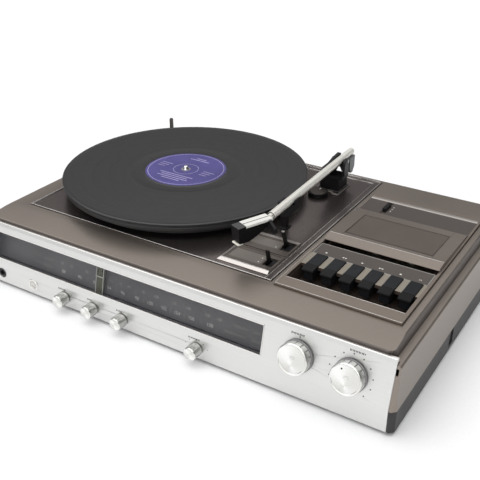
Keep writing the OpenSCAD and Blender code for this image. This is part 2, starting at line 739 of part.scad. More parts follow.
// A flat block on the turret with two cheeks: a long one on the record's side and a short round-topped one
module arm_yoke() {
  color([0.07, 0.07, 0.07]) difference() {
    union() {
      arm_frame() {
        translate([-10, -14, -20.5]) cube([19.8, 18, 4]);
        translate([-10, 0, 0]) rotate([90, 0, 90]) linear_extrude(3.7)
          polygon([[-34, -8], [-34, -3.5], [-30, -0.4], [-14, -0.4], [-1, 2.2], [14, 3], [16, 2], [16, -12],
            [4, -17], [-14, -17], [-20, -8]]);
        translate([6.4, 0, 0]) rotate([90, 0, 90]) linear_extrude(3.4)
          polygon([[-8, -17], [-8, -5], [-5.6, 0.6], [-2.6, 3.2], [0.8, 3.2], [4, 1], [4, -17]]);
      }
      bench(arm_x, arm_y, 62) cylinder(h = arm_z - 20 - 62, r = journal_r);
    }
    arm_frame() rotate([0, 90, 0]) translate([0, 0, -13]) cylinder(h = 26, r = 1.5 + running);
  }
}

module tonearm_tube() {
  tail = 32;
  color([0.85, 0.84, 0.8]) arm_frame() difference() {
    union() {
      rotate([90, 0, 0]) translate([0, 0, -tail]) cylinder(h = arm_len + tail, r = arm_r);
      translate([-5.2, -7, -6]) cube([10.4, 14, 6]);
      rotate([0, 90, 0]) translate([0, 0, -9.2]) cylinder(h = 18.4, r = 1.5);
    }
    rotate([90, 0, 0]) translate([0, 0, arm_len - 7]) cylinder(h = 8, r = collar_r + 0.02);
  }
}

// Frame of the headshell: origin at the tube's front end, its length towards -Y
module head_frame() {
  arm_frame() translate([0, -arm_len, 0]) rotate(-head_turn) children();
}

// A flat plate on a plug in the tube's end, with a groove along its top and a finger lift
module headshell() {
  color([0.84, 0.83, 0.8]) head_frame() difference() {
    union() {
      translate([-5, -36.8, -0.5]) cube([13.2, 32.6, 2.5]);
      translate([-0.4, -9, -2.6]) cube([5, 8, 2.4]);
      translate([0, -6.2, 0]) rotate([90, 0, 0]) linear_extrude(3.4)
        polygon([[7.6, -0.4], [8.8, 0.8], [18.6, -5.2], [20.4, -8.4], [17.4, -11.6], [12.4, -9.4],
          [11, -6]]);
      rotate([90, 0, head_turn]) translate([0, 0, -5]) cylinder(h = 8.5, r = collar_r);
    }
    translate([1.2, -40, 1.5]) cube([1, 37, 1]);
  }
}

// The body under the plate reaches in front of it; its underside rises towards the tube
module cartridge() {
  color([0.08, 0.08, 0.08]) head_frame() {
    translate([-5, 0, 0]) rotate([90, 0, 90]) linear_extrude(13.2) polygon([[-10, -0.6], [-36.9, -0.6],
      [-36.9, 1.7], [-46.2, 1.4], [-46.8, 0.4], [-45.4, -15.5], [-44, -16.6], [-33, -16.6], [-24, -13.2],
      [-15.5, -9], [-10, -5]]);
    translate([1.9, 0, 0]) rotate([90, 0, 90]) linear_extrude(1.4) polygon([[-30, -17], [-36, -18.1],
      [-37, -17.9], [-36, -16.5]]);
  }
}

// A slab that hangs under the tube behind the pivot
module counterweight() {
  color([0.32, 0.33, 0.34]) arm_frame() difference() {
    translate([-5.8, 0, 0]) rotate([90, 0, 90]) linear_extrude(12.8) polygon([[14, -2.2], [29, -2.2],
      [29, -17], [24, -23], [19, -23], [14, -16]]);
    rotate([90, 0, 0]) translate([0, 0, -40]) cylinder(h = 40, r = arm_r + 0.02);
  }
}

// A post beside the tube with a cradle under it and a hook on its outer side
module arm_rest() {
  x = arm_x + (arm_y - rest_y) * tan(arm_park);
  cradle_z = arm_z - arm_r - 0.6;
  hook_z = arm_z + 1;
  color([0.07, 0.07, 0.07]) {
    slab(x - 15.2, x - 7.7, rest_y, rest_y + 6.6, plate_top, cradle_z);
    along_y(rest_y - 7, rest_y + 6.6) polygon([[x - 15.2, cradle_z], [x - 15.2, 103], [x - 7.7, 101],
      [x + 2, 106], [x + 6.6, 112], [x + 6.6, hook_z], [x + 5.8, hook_z + 0.6], [x + 5.1, hook_z - 1],
      [x + 5, cradle_z]]);
    slab(x - 17, x - 6, rest_y - 2.4, rest_y + 9, plate_top, plate_top + 1.6);
  }
}

module antiskate_dial() {
  color([0.12, 0.12, 0.12]) bench(antiskate_at[0], antiskate_at[1], plate_top) {
    difference() {
      translate([0, 0, 0.4]) cylinder(h = 5.4, r = 12);
      for (i = [0:23]) rotate(i * 15) translate([11.5, -0.4, -1]) cube([1, 0.8, 8]);
    }
    translate([0, 0, -6]) cylinder(h = 7, r = 2);
  }
}

// Cassette module

function key_x(i) = key_mid + (i - 2.5) * key_pitch - key_w / 2;

module cassette_frame() {
  color([0.5, 0.47, 0.44]) difference() {
    slab(tape_x0, tape_x1, tape_y0, tape_y1, seat_z, frame_top);
    slab(well_x0, well_x1, well_y0, comb_y0, seat_z - 1, frame_top + 1);
    for (i = [0:5]) slab(key_x(i) - free_gap, key_x(i) + key_w + free_gap, comb_y0 - 1, strip_y0 - 0.4,
      seat_z - 1, frame_top + 1);
    slab(well_x0 - 1, well_x1 + 1, strip_y0, strip_y1 + 1, seat_z + 2, frame_top + 1);
    slab(well_x0 + 1, well_x1 - 1, strip_y0 + 1.9, strip_y1 - 3, seat_z - 1, frame_top + 1);
    slab(well_x0 - 1, well_x1 + 1, strip_y1 + 0.9, 248.8, seat_z - 1, frame_top + 1);
    slab(well_x0 - 1.9, well_x1 + 1.9, 238, 248.8, seat_z - 1, frame_top + 1);
    slab(well_x0 - 1.5, well_x1 + 1.5, 249.6, 291.2, frame_top - 1.6, frame_top + 1);
  }
  color([0.6, 0.6, 0.6]) for (x = [tape_x0 + 0.6, tape_x1 - 17.4])
    x_rod(x, x + 16.8, door_axis[0], door_axis[1], door_pin_r);
}

module label_strip() {
  color([0.28, 0.26, 0.26])
    slab(well_x0 - 0.9, well_x1 + 0.9, strip_y0 + 0.1, strip_y1 + 0.8, seat_z + 2, frame_top - 0.6);
}

selector_at = [tape_x - 37.5, 266.6];

// A flat plate with a low rounded bar along its rear edge
module tape_panel() {
  trim_y = 283.4;
  color([0.3, 0.28, 0.28]) difference() {
    union() {
      slab(well_x0 - 1.4, well_x1 + 1.4, 249.7, trim_y + 1, frame_top - 1.6, frame_top - 0.2);
      along_x(well_x0 - 1.4, well_x1 + 1.4) polygon([[trim_y, frame_top - 1.6], [trim_y, frame_top - 0.1],
        [trim_y + 1.6, frame_top + 0.7], [trim_y + 5.6, frame_top + 0.7], [trim_y + 7.6, frame_top - 0.2],
        [trim_y + 7.6, frame_top - 1.6]]);
    }
    slab(selector_at[0] - 2.6, selector_at[0] + 2.6, selector_at[1] - 15, selector_at[1] + 15,
      frame_top - 3, frame_top + 2);
  }
}

module selector_slide() {
  color([0.06, 0.06, 0.06]) difference() {
    slab(selector_at[0] - 2.2, selector_at[0] + 2.2, selector_at[1] - 9, selector_at[1] + 9,
      frame_top - 1.3, frame_top + 3.4);
    for (i = [-4:4]) slab(selector_at[0] - 3, selector_at[0] + 3, selector_at[1] - 0.4 + i * 1.9,
      selector_at[1] + 0.4 + i * 1.9, frame_top + 2.8, frame_top + 5);
  }
}

// Door profile in (Y, Z): thin shell, higher at the front, with a sloping finger lip
module door_profile() {
  rear = door_axis[0] + 1;
  polygon([[157.5, 87.2], [158.5, 89], [171, 90.6], [rear, 87.7], [rear, 86], [171, 87.8], [165, 87.2],
    [165, 86.2], [158.5, 86.2]]);
}

module cassette_door() {
  x0 = tape_x - door_w / 2;
  x1 = tape_x + door_w / 2;
  color([0.52, 0.49, 0.46]) difference() {
    union() {
      along_x(x0, x1) door_profile();
      for (x = [x0, x1 - 2]) along_x(x, x + 2) polygon([[160, 86.2], [165, 89], [door_axis[0] - 2, 87],
        [door_axis[0] - 2, 86]]);
      for (x = door_lug_xs) {
        slab(x, x + 6, door_axis[0] - 4, door_axis[0] + 1, door_axis[1], 87);
        x_rod(x, x + 6, door_axis[0], door_axis[1], 2.6);
      }
      for (x = [x0 + 11, x1 - 13]) slab(x, x + 2, 178, 232, 77, 87.8);
    }
    door_window_cut(0.05);
    x_rod(x0 - 1, x1 + 1, door_axis[0], door_axis[1], door_pin_r + running);
  }
}

module door_window_cut(grow) {
  slab(tape_x - 50 - grow, tape_x + 50 + grow, 176.5 - grow, 233 + grow, 84, 92);
}

module door_window() {
  color([0.3, 0.28, 0.27, 0.6]) along_x(tape_x - 50, tape_x + 50)
    polygon([[176.5, 87.6], [176.5, 90.1], [233, 88.1], [233, 86.3]]);
}

// One piano key: flat bar between the comb's teeth, dropped paddle, stem, and its pivot barrel
module tape_key(i) {
  x0 = key_x(i);
  x1 = x0 + key_w;
  top = frame_top + 1.4;
  color([0.09, 0.1, 0.11]) difference() {
    union() {
      along_x(x0, x1) polygon([[90.4, top - 2.2], [91, top - 0.9], [102, top + 0.5], [102.7, top],
        [125.6, top], [125.6, top - 4], [104, top - 4], [90.9, top - 4]]);
      along_x(x0 + 1.4, x1 - 1.4)
        polygon([[93, 73.5], [93, top - 3], [103, top - 3], [110, 76], [106, 73.5]]);
      along_x(x0 + 4, x1 - 4) polygon([[96, top - 3.5], [119, top - 3.5], [125.5, 80.4],
        [key_axis[0] + 1, 79.4], [key_axis[0], 73.5], [96, 74]]);
      x_rod(x0 + 2, x1 - 2, key_axis[0], key_axis[1], 3.6);
    }
    x_rod(x0 - 1, x1 + 1, key_axis[0], key_axis[1], 1.5 + running);
  }
}

module tape_key_1() tape_key(0);
module tape_key_2() tape_key(1);
module tape_key_3() tape_key(2);
module tape_key_4() tape_key(3);
module tape_key_5() tape_key(4);
module tape_key_6() tape_key(5);

module tape_chassis() {
  bed_z = 46;
  color([0.12, 0.12, 0.13]) {
    difference() {
      union() {
        slab(bay_x0 - 2.5, bay_x1 + 2.5, bay_y0 - 2.5, bay_y1 + 2.5, bed_z, seat_z - 0.2);
        slab(well_x0 - 1.2, well_x1 + 1.2, bay_y0 - 2.5, bay_y0 - 0.5, 65, seat_z - 0.2);
      }
      slab(bay_x0, bay_x1, bay_y0, bay_y1, bay_z, seat_z + 1);
      for (s = [-1, 1]) bench(tape_x + s * hub_gap / 2, hub_y, bay_z - 10)
        cylinder(h = 12, r = 1.5 + running);
      for (x = door_lug_xs) slab(x - 0.6, x + 6.6, bay_y1 - 1, bay_y1 + 3, door_axis[1] - 3, seat_z);
    }
    slab(well_x0 - 1.2, well_x1 + 1.2, well_y0 - 1.8, bay_y0 - 2.4, 65, 67);
    slab(well_x0 - 1.2, well_x1 + 1.2, well_y0 - 1.8, well_y0 - 0.2, 66.9, seat_z - 0.2);
    for (x = [well_x0 - 1.2, well_x1 - 0.2])
      slab(x, x + 1.4, well_y0 - 0.3, bay_y0 - 2.4, 65, seat_z - 0.2);
    x_rod(well_x0 - 1, well_x1 + 1, key_axis[0], key_axis[1], 1.5);
    bench(tape_x + 12, 181, bay_z - 1) cylinder(h = 10.8, r = 1.2);
  }
}

module hub(side) {
  color([0.85, 0.84, 0.8]) bench(tape_x + side * hub_gap / 2, hub_y, 0) {
    translate([0, 0, bay_z + 0.4]) cylinder(h = 2, r = 8);
    translate([0, 0, bay_z + 2]) cylinder(h = 8, r = 3.4);
    for (i = [0:5]) rotate(i * 60) translate([0, -0.5, bay_z + 2]) cube([4.6, 1, 7]);
    translate([0, 0, bay_z - 8]) cylinder(h = 9, r = 1.5);
  }
}

module supply_hub() hub(-1);
module take_up_hub() hub(1);

module head_carriage() {
  color([0.7, 0.7, 0.68]) {
    slab(tape_x - 24, tape_x + 24, bay_y0 + 0.6, bay_y0 + 13, bay_z + 0.4, bay_z + 2);
    slab(tape_x - 7, tape_x + 7, bay_y0 + 2, bay_y0 + 14, bay_z + 1.9, bay_z + 13);
    slab(tape_x - 22, tape_x - 12, bay_y0 + 3, bay_y0 + 12, bay_z + 1.9, bay_z + 12);
    bench(tape_x + 17, bay_y0 + 9, bay_z + 1.9) cylinder(h = 1, r = 2.4);
    bench(tape_x + 17, bay_y0 + 9, bay_z + 2.8) cylinder(h = 8, r = 5.5);
  }
}

// Electrics

module main_board() {
  x0 = -205;
  y0 = 24;
  z = foot_h + 10;
  color([0.45, 0.36, 0.2]) {
    slab(x0, 95, y0, 150, z, z + 1.6);
    for (x = [-190, -60, 80]) for (y = [35, 140]) bench(x, y, foot_h + 2.5)
      cylinder(h = z - foot_h - 2.4, r = 3);
  }
  color([0.2, 0.25, 0.4]) for (i = [0:6]) bench(-120 + i * 16, 120, z + 1.5) cylinder(h = 16, r = 5);
  color([0.7, 0.7, 0.7]) for (i = [0:5]) slab(-60 + i * 17, -50 + i * 17, 90, 100, z + 1.5, z + 13);
  color([0.15, 0.15, 0.15]) for (i = [0:3]) slab(-100 + i * 28, -80 + i * 28, 60, 67, z + 1.5, z + 5);
  color([0.6, 0.6, 0.62]) slab(-10, 60, 138, 141, z + 1.5, z + 22);
}

module power_transformer() {
  x = -170;
  z0 = foot_h + 2.5;
  color([0.35, 0.34, 0.33]) {
    for (z = [z0 + 4, z0 + 40]) slab(x - 35, x + 35, 275, 325, z, z + 8);
    for (s = [-35, -6, 23]) slab(x + s, x + s + 12, 275, 325, z0 + 11.9, z0 + 40.1);
    slab(x - 44, x + 44, 283, 317, z0, z0 + 4.1);
  }
  color([0.7, 0.5, 0.25]) slab(x - 20, x + 20, 266, 334, z0 + 11.9, z0 + 40.1);
}

base_tray();
rubber_feet();
housing();
rear_panel();
case_screws();
sockets();
hinge_blocks();
left_hinge_leaf();
right_hinge_leaf();
fascia_panel();
dial_glass();
dial_plate();
pointer_rail();
dial_pointer();
control_units();
tuning_drum();
tuning_knob();
volume_knob();
balance_knob();
bass_knob();
treble_knob();
function_knob();
power_button();
deck_plate();
control_island();
platter();
platter_mat();
record();
centre_spindle();
drive_belt();
deck_motor();
motor_pulley();
arm_base();
arm_yoke();
tonearm_tube();
headshell();
cartridge();
counterweight();
arm_rest();
antiskate_dial();
start_lever();
speed_lever();
cassette_frame();
tape_panel();
label_strip();
cassette_door();
door_window();
tape_key_1();
tape_key_2();
tape_key_3();
tape_key_4();
tape_key_5();
tape_key_6();
selector_slide();
tape_chassis();
supply_hub();
take_up_hub();
head_carriage();
main_board();
power_transformer();
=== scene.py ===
# %% [markdown]
# # A stereo music centre, cell by cell
# This lesson dresses a packed CAD frame: a low cabinet with a record deck on the left, a cassette
# module on the right and a long radio dial across a silver fascia. The frame carries every
# joint and size. Each cell below adds one visible piece or one finish, and prints what it made.

# %% Load the frame and keep its box
import json
import math

import bmesh
import bpy
from mathutils import Matrix, Vector


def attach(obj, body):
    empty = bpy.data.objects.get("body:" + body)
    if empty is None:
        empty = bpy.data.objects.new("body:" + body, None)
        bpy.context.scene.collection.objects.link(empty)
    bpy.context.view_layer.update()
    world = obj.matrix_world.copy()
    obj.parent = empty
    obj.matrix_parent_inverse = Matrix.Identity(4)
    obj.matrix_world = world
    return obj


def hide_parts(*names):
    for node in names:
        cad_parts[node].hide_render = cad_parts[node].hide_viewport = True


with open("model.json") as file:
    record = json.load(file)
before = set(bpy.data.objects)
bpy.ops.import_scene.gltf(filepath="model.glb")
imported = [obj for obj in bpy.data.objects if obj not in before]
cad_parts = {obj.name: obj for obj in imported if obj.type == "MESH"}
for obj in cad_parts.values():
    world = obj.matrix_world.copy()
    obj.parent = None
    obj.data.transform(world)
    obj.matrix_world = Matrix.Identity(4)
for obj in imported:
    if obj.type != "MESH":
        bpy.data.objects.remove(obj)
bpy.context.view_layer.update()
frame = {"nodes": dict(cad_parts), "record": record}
nodes = frame["nodes"]

# %% [markdown]
# ## Measures
# The cabinet is drawn in millimetres. X runs along it from its middle, Y goes back from the face
# of the fascia and Z up from the table. One helper turns such a point into the frame's metres, so
# the numbers in the cells are the ones a ruler would give.

# %% Points in millimetres
MM = 0.001
FRONT_Y = -170.0


def at(x, y, z):
    return Vector((x, y + FRONT_Y, z)) * MM


def seen_from(centre, turn=Matrix.Identity(3)):
    """Makes a helper like `at`, for points measured from a centre, in turned directions."""
    return lambda x, y, z: centre + turn @ Vector((x, y, z)) * MM


LEAN = math.radians(13)
FOLD_Z = 28.0
DIAL_LEFT, DIAL_RIGHT = -238.0, 125.4
KNOB_ROW_Z = 16.5
BIG_KNOB_UP = 21.0
TUNING_X, VOLUME_X = 163.5, 217.5


def on_slope(x, up, out=0.0):
    """A point on the leaning part of the fascia: so far up its slope, so far out of its face."""
    return at(x, up * math.sin(LEAN) - out * math.cos(LEAN),
              FOLD_Z + up * math.cos(LEAN) + out * math.sin(LEAN))


print("fascia corner:", tuple(round(v, 4) for v in on_slope(257, 45)))

# %% [markdown]
# ## The photographer's camera
# The picture was taken from in front, to the right and above, with a long lens. The place and the
# three directions come from fitting about two hundred points along the cabinet's straight edges
# and the record's rim, so the model lies on the photograph to about a pixel.

# %% Camera
EYE = Vector((0.4284, -0.6836, 0.4860))
AHEAD = Vector((-0.4694, 0.7427, -0.4775)).normalized()
right = Vector((0.8459, 0.5334, -0.0019))
right = (right - AHEAD * right.dot(AHEAD)).normalized()
above = right.cross(AHEAD)
lens = bpy.data.cameras.new("camera")
SENSOR_MM, PICTURE_PX, FOCAL_PX = 36.0, 480.0, 773.94
lens.sensor_width = SENSOR_MM
lens.lens = FOCAL_PX * SENSOR_MM / PICTURE_PX
lens.clip_start = 0.02
lens.clip_end = 60.0
camera = bpy.data.objects.new("camera", lens)
camera.matrix_world = Matrix((
    (right.x, above.x, -AHEAD.x, EYE.x),
    (right.y, above.y, -AHEAD.y, EYE.y),
    (right.z, above.z, -AHEAD.z, EYE.z),
    (0, 0, 0, 1),
))
bpy.context.scene.collection.objects.link(camera)
bpy.context.scene.camera = camera
print("lens: %.1f mm" % lens.lens)

# %% [markdown]
# ## Shader sums
# A finish is mostly arithmetic: a little noise times a scale, added to a base. The class below
# wraps one output socket, so that a cell can write `0.3 + 0.1 * grain` and get the Math nodes.

# %% A socket that adds up
def rgb(r, g, b):
    """Screen colour 0-255 to the linear values a shader wants."""
    lin = [(v / 255 / 12.92) if v <= 10.3 else ((v / 255 + 0.055) / 1.055) ** 2.4 for v in (r, g, b)]
    return (*lin, 1.0)


def scaled(colour, share, lift=0.0):
    return tuple(min(1.0, v * share + lift) for v in colour[:3]) + (1,)


class Wire:
    def __init__(self, shop, socket):
        self.shop = shop
        self.socket = socket

    def __add__(self, other):
        return self.shop.maths("ADD", self, other)

    def __mul__(self, other):
        return self.shop.maths("MULTIPLY", self, other)

    def __pow__(self, other):
        return self.shop.maths("POWER", self, other)

    __radd__ = __add__
    __rmul__ = __mul__


print("white:", rgb(255, 255, 255), "mid grey:", round(rgb(128, 128, 128)[0], 3))

# %% [markdown]
# ## The paint shop
# Each finish gets a shop of its own. Colours go through Mix nodes, directions through Vector Math,
# and `node` makes any other kind. `paint` wires what varies and shelves the finish by its name.

# %% The workshop that makes nodes
finish = {}


class Shop:
    """One material: its node tree, its surface shader and the tools to wire them."""

    def __init__(self, name, **fixed):
        self.name = name
        self.material = bpy.data.materials.new(name)
        self.material.use_nodes = True
        self.tree = self.material.node_tree
        self.tree.nodes.clear()
        end = self.tree.nodes.new("ShaderNodeOutputMaterial")
        self.surface = self.tree.nodes.new("ShaderNodeBsdfPrincipled")
        self.tree.links.new(self.surface.outputs[0], end.inputs["Surface"])
        for key, value in fixed.items():
            self.surface.inputs[key.replace("_", " ")].default_value = value
        self.place = self.node("ShaderNodeTexCoord", out="Object")

    def plug(self, socket, value):
        if isinstance(value, Wire):
            self.tree.links.new(value.socket, socket)
        elif value is not None:
            socket.default_value = value

    def node(self, kind, settings=None, out=0, **values):
        made = self.tree.nodes.new(kind)
        for key, value in (settings or {}).items():
            setattr(made, key, value)
        for key, value in values.items():
            name = int(key[1:]) if key[0] == "i" and key[1:].isdigit() else key.replace("_", " ")
            self.plug(made.inputs[name], value)
        return Wire(self, made.outputs[out])

    def maths(self, kind, a, b=0.0):
        return self.node("ShaderNodeMath", {"operation": kind}, i0=a, i1=b)

    def stretched(self, x, y, z):
        """The piece's own place, in metres, with each direction scaled."""
        return self.node("ShaderNodeVectorMath", {"operation": "MULTIPLY"}, i0=self.place, i1=(x, y, z))

    def noise(self, where, scale, detail, rough=0.5):
        return self.node("ShaderNodeTexNoise", {"noise_dimensions": "3D"}, Vector=where, Scale=scale,
                         Detail=detail, Roughness=rough)

    def from_centre(self, centre, up):
        """How far a point lies across, up and in all from the middle of a disc."""
        local = self.node("ShaderNodeVectorMath", {"operation": "SUBTRACT"}, i0=self.place, i1=tuple(centre))
        across = self.node("ShaderNodeSeparateXYZ", out="X", i0=local)
        along = self.node("ShaderNodeVectorMath", {"operation": "DOT_PRODUCT"}, out="Value", i0=local, i1=up)
        return across, along, (across ** 2.0 + along ** 2.0) ** 0.5

    def rings(self, far, per_metre, detail, rough):
        """Noise that changes only with the distance from the middle."""
        return self.noise(self.node("ShaderNodeCombineXYZ", X=far * per_metre), 1.0, detail, rough)

    def blend(self, share, first, second):
        made = self.tree.nodes.new("ShaderNodeMix")
        made.data_type = "RGBA"
        self.plug(made.inputs[0], share)
        self.plug(made.inputs[6], first)
        self.plug(made.inputs[7], second)
        return Wire(self, made.outputs[2])

    def span(self, value, low, high):
        """Stretches the part of a value between low and high to 0 to 1, held at both ends."""
        return self.node("ShaderNodeMapRange", {"clamp": True}, i0=value, i1=low, i2=high)

    def relief(self, height, depth_mm, strength=1.0):
        return self.node("ShaderNodeBump", Strength=strength, Distance=depth_mm * MM, Height=height)

    def paint(self, colour, rough, metal=None, normal=None, alpha=None):
        """Wires what varies into the surface, and puts the finish on the shelf under its name."""
        for name, value in (("Base Color", colour), ("Roughness", rough), ("Metallic", metal),
                            ("Normal", normal), ("Alpha", alpha)):
            self.plug(self.surface.inputs[name], value)
        finish[self.name] = self.material
        return self.material


print("shop tools:", [tool for tool in vars(Shop) if tool[0] != "_"])

# %% [markdown]
# ## Metallic lacquer
# Cabinet, cassette frame and door are moulded plastic under a warm grey-brown lacquer with fine
# metal flake. Flake is a tight noise that lifts the colour here and there; orange peel is a broad,
# shallow one in the normal; a slow noise keeps the large faces from looking like flat card.

# %% Lacquer family
def lacquer(name, colour, metal=0.55, rough=0.4, flake=0.12, peel=0.02):
    shop = Shop(name)
    base = rgb(*colour)
    sparkle = shop.noise(shop.place, 2600, 1.0)
    cloud = shop.noise(shop.place, 9, 3.0)
    mottle = shop.span(0.65 * sparkle + 0.35 * cloud, 0.32, 0.68)
    skin = shop.noise(shop.place, 420, 2.0)
    shop.paint(shop.blend(mottle, scaled(base, 1 - flake), scaled(base, 1 + flake)),
               rough=rough - 0.04 + 0.08 * cloud, metal=metal, normal=shop.relief(skin, peel))


lacquer("housing_taupe", (140, 131, 123), metal=0.8, rough=0.36)
lacquer("frame_taupe", (142, 131, 122), metal=0.8)
lacquer("comb_taupe", (148, 140, 128), metal=0.4)
lacquer("door_taupe", (142, 132, 124), metal=0.75, rough=0.36)
# panel_dark is the rear panel's own dark lacquer; on the housing's step it is painted shade
lacquer("panel_dark", (98, 91, 87), metal=0.6, rough=0.38)
lacquer("island_metal", (112, 104, 98), metal=0.7, rough=0.36)
lacquer("label_plate", (132, 126, 119), flake=0.22, rough=0.42)
lacquer("island_edge", (196, 190, 186), metal=0.7, rough=0.3)
lacquer("pale_band", (158, 152, 147), rough=0.36)
# dial_cap is darker than the antiskate cap's taupe metal: painted shadow of the arm
lacquer("dial_cap", (72, 67, 63), metal=0.7, rough=0.36)
lacquer("hinge_leaf", (70, 66, 62))
lacquer("weight_grey", (96, 97, 98), metal=0.7)
print("lacquers:", len(finish))

# %% [markdown]
# ## Deck plate
# The record deck's top is a pressed plate with a greyer, silkier lacquer than the cabinet. It is
# glossy enough to mirror the dark underside of the record, so it is nearly black there and light
# by the arm. A stretched, very slow noise moves the roughness, as on a plate polished by hand.

# %% Deck metal
shop = Shop("deck_metal")
haze = shop.noise(shop.stretched(1.0, 0.35, 1.0), 7, 2.0)
grain = shop.noise(shop.place, 2200, 1.0)
tone = shop.blend(shop.span(grain, 0.3, 0.7), rgb(112, 104, 102), rgb(140, 131, 128))
shop.paint(tone, rough=0.22 + 0.1 * haze, metal=0.92, normal=shop.relief(grain, 0.006))
print("deck metal ready")

# %% [markdown]
# ## Brushed and spun aluminium
# The fascia is brushed lengthwise: noise squeezed to hair lines along X. Knob faces are spun, so
# their lines are rings: the same noise is read along the distance from the knob's own axis. A spun
# face throws two bright wedges of light; on the knobs here they are a painted highlight in the colour.

# %% Aluminium family
def brushed(name, colour, along=(3.0, 900.0, 900.0), rough=0.3, depth=0.012, metal=1.0):
    shop = Shop(name)
    base = rgb(*colour)
    hair = shop.noise(shop.stretched(*along), 1.0, 4.0, 0.7)
    slow = shop.noise(shop.place, 14, 2.0)
    shop.paint(shop.blend(hair, scaled(base, 0.92), base), rough=rough - 0.05 + 0.07 * hair + 0.05 * slow,
               metal=metal, normal=shop.relief(hair, depth, 0.6))


brushed("fascia_aluminium", (226, 226, 224), rough=0.36)
brushed("bright_trim", (240, 237, 234), along=(60, 60, 60), rough=0.22, depth=0.002)
brushed("head_silver", (244, 243, 236), along=(700, 30, 700), rough=0.36, depth=0.004, metal=0.15)
brushed("arm_tube", (238, 236, 228), along=(700, 6, 700), rough=0.34, depth=0.004, metal=0.3)
brushed("rail_steel", (190, 190, 190), rough=0.25)
brushed("motor_steel", (150, 152, 156), along=(40, 40, 900), rough=0.35)
brushed("head_metal", (190, 190, 188), along=(300, 60, 60), rough=0.3)
brushed("screw_steel", (188, 188, 190), along=(500, 500, 60), rough=0.28)
brushed("works_grey", (156, 158, 162), along=(60, 400, 400), rough=0.4)
brushed("pulley_brass", (206, 176, 98), along=(60, 60, 1500), rough=0.22)


def polished(name, colour, rough):
    shop = Shop(name)
    base = rgb(*colour)
    smear = shop.noise(shop.place, 160, 3.0)
    shop.paint(shop.blend(smear, scaled(base, 0.95), base), rough=rough + 0.06 * smear, metal=1.0,
               normal=shop.relief(smear, 0.003))


polished("spindle_steel", (225, 225, 226), 0.08)
polished("button_chrome", (214, 212, 206), 0.1)
print("metals:", [k for k in finish if "steel" in k or "brass" in k])

# %% [markdown]
# ## Spun knob metal
# Each knob face has its own centre and its own tilt, so the finish is made once per knob. The
# distance from the axis drives the rings; the angle round it paints in the two bright wedges that
# turning marks show under a wide lamp, as a gentle change of tone: a painted highlight.

# %% Spun face
def spun(name, centre, tilt):
    shop = Shop(name)
    across, along, far = shop.from_centre(centre, (0, math.sin(tilt), math.cos(tilt)))
    rings = shop.rings(far, 4200.0, 3.0, 0.7)
    # painted highlight: two bright wedges by the angle round the axis, mixed into the face's colour
    turn = shop.maths("ARCTAN2", along, across)
    highlight_wedge = shop.maths("ABSOLUTE", shop.maths("COSINE", turn + 0.9))
    colour = shop.blend(0.35 * rings + 0.65 * highlight_wedge ** 3.0, rgb(214, 213, 208), rgb(252, 252, 250))
    shop.paint(colour, rough=0.2 + 0.12 * rings, metal=1.0, normal=shop.relief(rings, 0.01, 0.7))


print("spun finish takes a centre and a tilt")

# %% [markdown]
# ## Black and dark plastics
# The base is matt with a fine spark-eroded texture; the levers and the arm's turret are glossier;
# the cassette keys lean towards blue. They differ in grain size, grain depth and sheen.

# %% Plastics family
def plastic(name, colour, rough=0.5, grain=900, depth=0.02, coat=0.0, sheen=0.5):
    shop = Shop(name, Coat_Weight=coat, Coat_Roughness=0.12, Specular_IOR_Level=sheen)
    base = rgb(*colour)
    pits = shop.noise(shop.place, grain, 2.0)
    wear = shop.span(shop.noise(shop.place, 24, 3.0), 0.35, 0.75)
    shop.paint(shop.blend(wear, base, scaled(base, 1.35, 0.004)), rough=rough - 0.05 + 0.1 * pits,
               normal=shop.relief(pits, depth))


plastic("base_black", (34, 31, 31), 0.5, 700, 0.03)
plastic("rear_board", (40, 36, 34), 0.6, 300, 0.03)
plastic("socket_black", (24, 24, 25), 0.4)
plastic("hinge_black", (28, 27, 27), 0.42)
plastic("arm_black", (16, 15, 17), 0.42, 1200, 0.008, sheen=0.3)
plastic("lever_black", (14, 13, 13), 0.4, 1200, 0.006, sheen=0.3)
plastic("cartridge_black", (8, 7, 7), 0.5, sheen=0.2)
# pale grey for the dark lever tip's top faces: painted highlight
plastic("lever_tip_highlight", (150, 147, 145), 0.4)
plastic("cartridge_grey", (62, 61, 61), 0.5)
# light grey for the turret's sloped step edges: painted highlight
plastic("turret_step_highlight", (120, 114, 108), 0.4)
plastic("key_black", (24, 26, 29), 0.5, 1500, 0.012, sheen=0.22)
# the paddle's copy of the key plastic is darker: painted shade on its tilted face
plastic("key_paddle_shaded", (12, 12, 13), 0.5, 1500, 0.012, sheen=0.18)
# chassis_black is also painted on the key well's walls as painted shade
plastic("chassis_black", (72, 62, 56), 0.3, 800, 0.01, 0.3)
# dial_black is a mid grey: on the dial plate it is a painted reflection of the glass, and on the big knobs'
# root rings it is painted shade
plastic("dial_black", (122, 120, 121), 0.5, 1500, 0.004)
plastic("works_cream", (222, 219, 206), 0.45, 900, 0.01)
plastic("hub_cream", (224, 221, 210), 0.45, 900, 0.01)
for ink, colour in (("pale", (214, 214, 208)), ("grey", (150, 150, 146)), ("soft", (178, 178, 174)),
                    ("faint", (112, 110, 112)), ("black", (34, 33, 33))):
    plastic("print_" + ink, colour, 0.6, 2000, 0.002)
plastic("ledge_black", (20, 20, 21), 0.5, 1500, 0.004)
plastic("window_edge", (60, 53, 49), 0.5, 900, 0.004)
plastic("board_brown", (150, 118, 66), 0.55, 400, 0.02)
plastic("iron_core", (92, 90, 88), 0.5, 500, 0.03)


